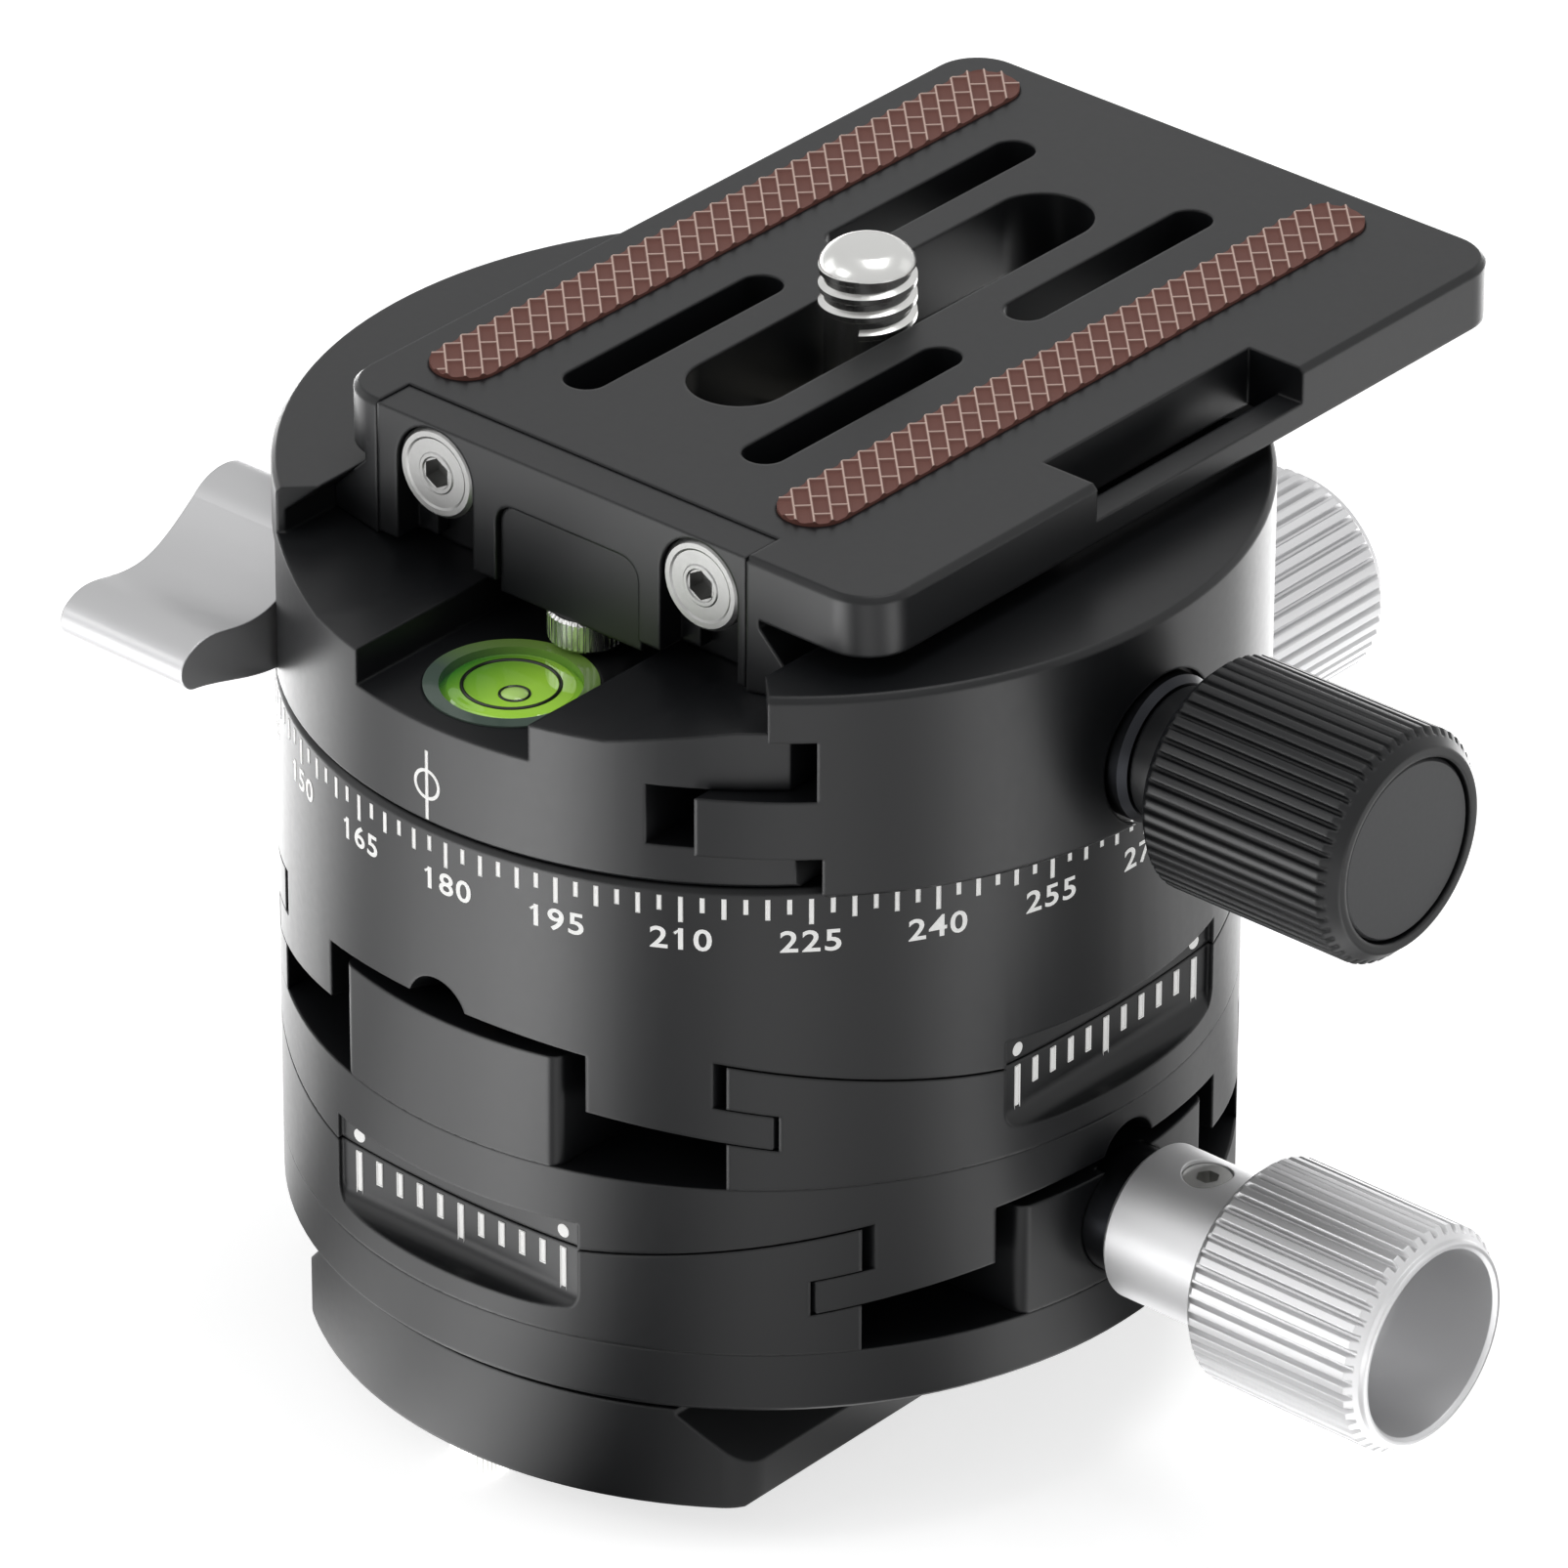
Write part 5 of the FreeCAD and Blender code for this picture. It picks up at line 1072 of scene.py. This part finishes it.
class HEAD_OT_pan_scale(bpy.types.Operator):
    """White degree scale around the drum, with the index on the clamp"""

    bl_idname = "geared_head.pan_scale"
    bl_label = "Pan scale"

    def execute(self, context):
        scale = context.scene.head_scale
        tick_top = 45.6 * MM
        tick_step = math.radians(2.5)
        sector = []
        for step, length in enumerate((1.8, 1.05, 1.45, 1.05, 1.45, 1.05)):
            bar = mark("pan_tick", scale.pan_tick_width, length * MM)
            angle = scale.pan_zero + step * tick_step
            height = tick_top - length * MM / 2.0
            sector.append(place(bar, wall_frame(angle, height, DRUM_RADIUS)))
        ticks = join_pieces("pan_scale_ticks", sector)
        copies = 23
        spin(ticks, copies, math.tau * copies / (copies + 1), dupli=True)
        face_outwards(ticks)
        hand_over(ticks, "pan_base")

        figures = {}
        for figure in "0123456789":
            clear_selection()
            bpy.ops.object.text_add(location=ORIGIN)
            text = bpy.context.object.data
            text.body = figure
            text.align_x = "CENTER"
            text.size = scale.figure_height / FIGURE_SHARE
            text.offset = 0.03 * MM
            text.extrude = MARK_DEPTH / 2.0
            text.resolution_u = 4
            bpy.ops.object.convert(target="MESH")
            figures[figure] = name_new("figure_" + figure)
            place(figures[figure], Matrix.Diagonal((FIGURE_WIDENING, 1.0, 1.0, 1.0)))
        # The figure 1 gets a flag.
        flag = mark("figure_flag", 0.22 * MM, 0.55 * MM)
        lift = at(-0.2 * MM, scale.figure_height - 0.25 * MM, 0.0)
        place(flag, lift @ Matrix.Rotation(math.radians(-50), 4, "Z"))
        figures["1"] = join_pieces("figure_1", [figures["1"], flag])
        advance = 1.38 * MM / DRUM_RADIUS
        bottom = 41.85 * MM
        radius = DRUM_RADIUS + MARK_PROUD - MARK_DEPTH / 2.0
        made = []
        for number in range(0, 360, 15):
            label = str(number)
            first = scale.pan_zero + math.radians(number) - advance * (len(label) - 1) / 2.0
            for position, figure in enumerate(label):
                digit = copy_piece(figures[figure], "pan_digit")
                made.append(place(digit, wall_frame(first + position * advance, bottom, radius)))
        for figure in figures.values():
            bpy.data.objects.remove(figure)
        digits = join_pieces("pan_scale_figures", made)
        hand_over(digits, "pan_base")

        index_angle = math.radians(-91.0)
        index_height = 49.2 * MM
        line = mark("pan_index", 0.26 * MM, 4.9 * MM)
        place(line, wall_frame(index_angle, index_height, DRUM_RADIUS))
        circle = hoop("pan_index_circle", 0.98 * MM, 0.12 * MM, (48, 8), flatness=0.3)
        circle_height = index_height + 0.03 * MM
        place(circle, wall_frame(index_angle, circle_height, DRUM_RADIUS - 0.005 * MM))
        index = join_pieces("pan_index", [line, circle])
        hand_over(index, "turntable")
        return {"FINISHED"}


class HEAD_OT_tilt_scales(bpy.types.Operator):
    """White tilt scales on the two front rails, with a dot over each end on the rocker"""

    bl_idname = "geared_head.tilt_scales"
    bl_label = "Tilt scales"

    def execute(self, context):
        scale = context.scene.head_scale
        long_tick = 3.3 * MM
        short_tick = 1.75 * MM
        gap = 0.45 * MM
        dot_reach = 8.7 * MM
        dot_height = 19.4 * MM
        dot_outline = [(MARK_PROUD - MARK_DEPTH, 0.5 * MM), (MARK_PROUD, 0.46 * MM)]
        facing = quarter("X")
        for name, body, dot_body, move in (
            ("lower_tilt_scale", "base", "middle", Matrix.Identity(4)),
            ("upper_tilt_scale", "middle", "pan_base", upper_stage()),
        ):
            ticks = []
            for degrees in range(-5, 6):
                lean = math.radians(degrees)
                length = long_tick if degrees in (-5, 0, 5) else short_tick
                top = RAIL_TOP + TILT_RADIUS * (1.0 - math.cos(lean)) - gap
                bar = mark("tilt_tick", scale.tilt_tick_width, length)
                spot = at(TILT_RADIUS * math.sin(lean), -SEAT_PLANE, top - length / 2.0)
                ticks.append(place(bar, move @ spot @ facing))
            hand_over(join_pieces(name, ticks), body)
            dots = []
            for side in (-1.0, 1.0):
                dot = turned("tilt_dot", 32, dot_outline)
                spot = at(side * dot_reach, -SEAT_PLANE, dot_height)
                dots.append(place(dot, move @ spot @ facing))
            hand_over(join_pieces(name + "_dots", dots), dot_body)
        return {"FINISHED"}


class HEAD_OT_studio(bpy.types.Operator):
    """Pale floor, soft light and the camera"""

    bl_idname = "geared_head.studio"
    bl_label = "Studio"

    def execute(self, context):
        studio = context.scene.head_studio
        floor = sheet("studio_floor", FLOOR_SIZE, FLOOR_HEIGHT)
        floor.data.materials.append(self.pale_floor())
        self.reflector()
        self.room(context.scene, studio.room_light)
        for name, spot, size, power in (
            ("key_lamp", (0.1, 0.12, 0.75), 0.35, studio.key_power),
            ("front_lamp", (-0.25, -0.5, 0.38), 0.3, 0.6),
            ("left_lamp", (-0.6, -0.25, 0.25), 0.4, 0.5),
            ("right_lamp", (0.35, 0.6, 0.3), 0.4, 0.15),
        ):
            clear_selection()
            aim = (LAMP_TARGET - Vector(spot)).to_track_quat("-Z", "Y").to_euler()
            bpy.ops.object.light_add(type="AREA", location=spot, rotation=aim)
            lamp = bpy.context.object
            lamp.name = name
            lamp.data.size = size
            lamp.data.energy = power
        self.camera(context.scene)
        context.scene.view_settings.view_transform = "Standard"
        return {"FINISHED"}

    def bare_tree(self, owner):
        """The emptied node tree of a material or world."""
        owner.use_nodes = True
        owner.node_tree.nodes.clear()
        return owner.node_tree

    def as_seen(self, tree, lit, seen):
        """One shader for light, and another for rays of the camera, of gloss and of glass."""
        path = add_node(tree, "LightPath").outputs
        share = path["Is Camera Ray"]
        for kind in ("Is Glossy Ray", "Is Transmission Ray"):
            share = add_node(
                tree, "Math", {"operation": "MAXIMUM"}, {0: share, 1: path[kind]}
            ).outputs["Value"]
        links = {0: share, 1: lit.outputs[0], 2: seen.outputs[0]}
        return add_node(tree, "MixShader", links=links).outputs[0]

    def pale_floor(self):
        """White paper that keeps a soft shadow."""
        material = bpy.data.materials.new("white paper")
        tree = self.bare_tree(material)
        paper = add_node(tree, "BsdfDiffuse", {"Color": (0.8, 0.8, 0.8, 1.0)})
        glow = add_node(tree, "Emission", {"Strength": 0.7})
        both = add_node(tree, "AddShader", links={0: paper.outputs[0], 1: glow.outputs[0]})
        surface = self.as_seen(tree, paper, both)
        add_node(tree, "OutputMaterial", links={"Surface": surface})
        return material

    def reflector(self):
        """Sheet on the floor, seen only in gloss, with light and dark sectors round the object."""
        mirror_sheet = sheet("studio_reflector", SHEET_SIZE, SHEET_HEIGHT)
        for kind in ("camera", "diffuse", "transmission", "volume_scatter", "shadow"):
            setattr(mirror_sheet, "visible_" + kind, False)
        material = bpy.data.materials.new("reflector sheet")
        tree = self.bare_tree(material)
        spot = place_on_object(tree)
        facing = {"Rotation": (0, 0, -VIEW_AZIMUTH)}
        turn = add_node(tree, "Mapping", facing, {"Vector": spot}).outputs[0]
        sector = add_node(tree, "TexGradient", {"gradient_type": "RADIAL"}, {"Vector": turn})
        ramp = add_node(tree, "ValToRGB", links={"Fac": sector.outputs["Fac"]})
        ramp.color_ramp.interpolation = "EASE"
        stops = ramp.color_ramp.elements
        for degrees, value in SECTORS[2:]:
            stops.new(0.5 + degrees / 360.0).color = (*[value / SECTOR_PEAK] * 3, 1.0)
        for stop, (degrees, value) in ((stops[0], SECTORS[0]), (stops[len(stops) - 1], SECTORS[1])):
            stop.position = 0.5 + degrees / 360.0
            stop.color = (*[value / SECTOR_PEAK] * 3, 1.0)
        distance = add_node(tree, "VectorMath", {"operation": "LENGTH"}, {0: spot})
        span = {"From Min": 45 * MM, "From Max": 105 * MM}
        strength = {"To Min": 0.65 * SECTOR_PEAK, "To Max": 1.3 * SECTOR_PEAK}
        links = {"Value": distance.outputs["Value"]}
        rise = add_node(tree, "MapRange", {**span, **strength}, links)
        glow = add_node(
            tree, "Emission",
            links={"Color": ramp.outputs["Color"], "Strength": rise.outputs["Result"]},
        )
        add_node(tree, "OutputMaterial", links={"Surface": glow.outputs[0]})
        mirror_sheet.data.materials.append(material)

    def room(self, scene, strength):
        """White room, seen at full strength but lighting the object more weakly."""
        scene.world = bpy.data.worlds.new("studio room")
        tree = self.bare_tree(scene.world)
        white = (1.0, 1.0, 1.0, 1.0)
        light = add_node(tree, "Background", {"Color": white, "Strength": strength})
        wall = add_node(tree, "Background", {"Color": white, "Strength": 1.0})
        add_node(tree, "OutputWorld", links={"Surface": self.as_seen(tree, light, wall)})

    def camera(self, scene):
        """Camera at its measured place, direction, roll and focal length."""
        azimuth = Matrix.Rotation(VIEW_AZIMUTH + math.pi / 2, 3, "Z")
        tilt = Matrix.Rotation(math.pi / 2 - CAMERA_ELEVATION, 3, "X")
        turn = azimuth @ tilt @ Matrix.Rotation(CAMERA_ROLL, 3, "Z")
        clear_selection()
        bpy.ops.object.camera_add(location=CAMERA_SPOT, rotation=turn.to_euler())
        scene.camera = bpy.context.object
        scene.camera.name = "studio_camera"
        scene.camera.data.lens = CAMERA_LENS
        scene.camera.data.sensor_width = 36.0
        scene.camera.data.clip_start = 0.01


# Panel, and registering.
SETTINGS = (
    ("head_finishes", FinishSettings),
    ("head_tilt_knob", TiltKnobSettings),
    ("head_clamp_knob", ClampKnobSettings),
    ("head_screw", ScrewSettings),
    ("head_grip", GripSettings),
    ("head_scale", ScaleSettings),
    ("head_studio", StudioSettings),
)
STEPS = (
    HEAD_OT_finishes,
    HEAD_OT_machined_bodies,
    HEAD_OT_tilt_knobs,
    HEAD_OT_clamp_knob,
    HEAD_OT_camera_screw,
    HEAD_OT_grips,
    HEAD_OT_level,
    HEAD_OT_lip_screws,
    HEAD_OT_stop_screws,
    HEAD_OT_pan_scale,
    HEAD_OT_tilt_scales,
    HEAD_OT_studio,
)


class HEAD_PT_panel(bpy.types.Panel):
    """Sizes, colours and steps of the geared head"""

    bl_idname = "HEAD_PT_panel"
    bl_label = "Geared head"
    bl_space_type = "VIEW_3D"
    bl_region_type = "UI"
    bl_category = "Geared head"

    def draw(self, context):
        for name, group in SETTINGS:
            box = self.layout.box()
            for key in group.__annotations__:
                box.prop(getattr(context.scene, name), key)
        for step in STEPS:
            self.layout.operator(step.bl_idname)


def register():
    for name, group in SETTINGS:
        bpy.utils.register_class(group)
        setattr(bpy.types.Scene, name, PointerProperty(type=group))
    for step in STEPS:
        bpy.utils.register_class(step)
    bpy.utils.register_class(HEAD_PT_panel)


def unregister():
    bpy.utils.unregister_class(HEAD_PT_panel)
    for step in reversed(STEPS):
        bpy.utils.unregister_class(step)
    for name, group in reversed(SETTINGS):
        delattr(bpy.types.Scene, name)
        bpy.utils.unregister_class(group)


def main():
    register()
    bpy.ops.geared_head.finishes()
    bpy.ops.geared_head.machined_bodies()
    bpy.ops.geared_head.tilt_knobs()
    bpy.ops.geared_head.clamp_knob()
    bpy.ops.geared_head.camera_screw()
    bpy.ops.geared_head.grips()
    bpy.ops.geared_head.level()
    bpy.ops.geared_head.lip_screws()
    bpy.ops.geared_head.stop_screws()
    bpy.ops.geared_head.pan_scale()
    bpy.ops.geared_head.tilt_scales()
    bpy.ops.geared_head.studio()


if __name__ == "__main__":
    main()
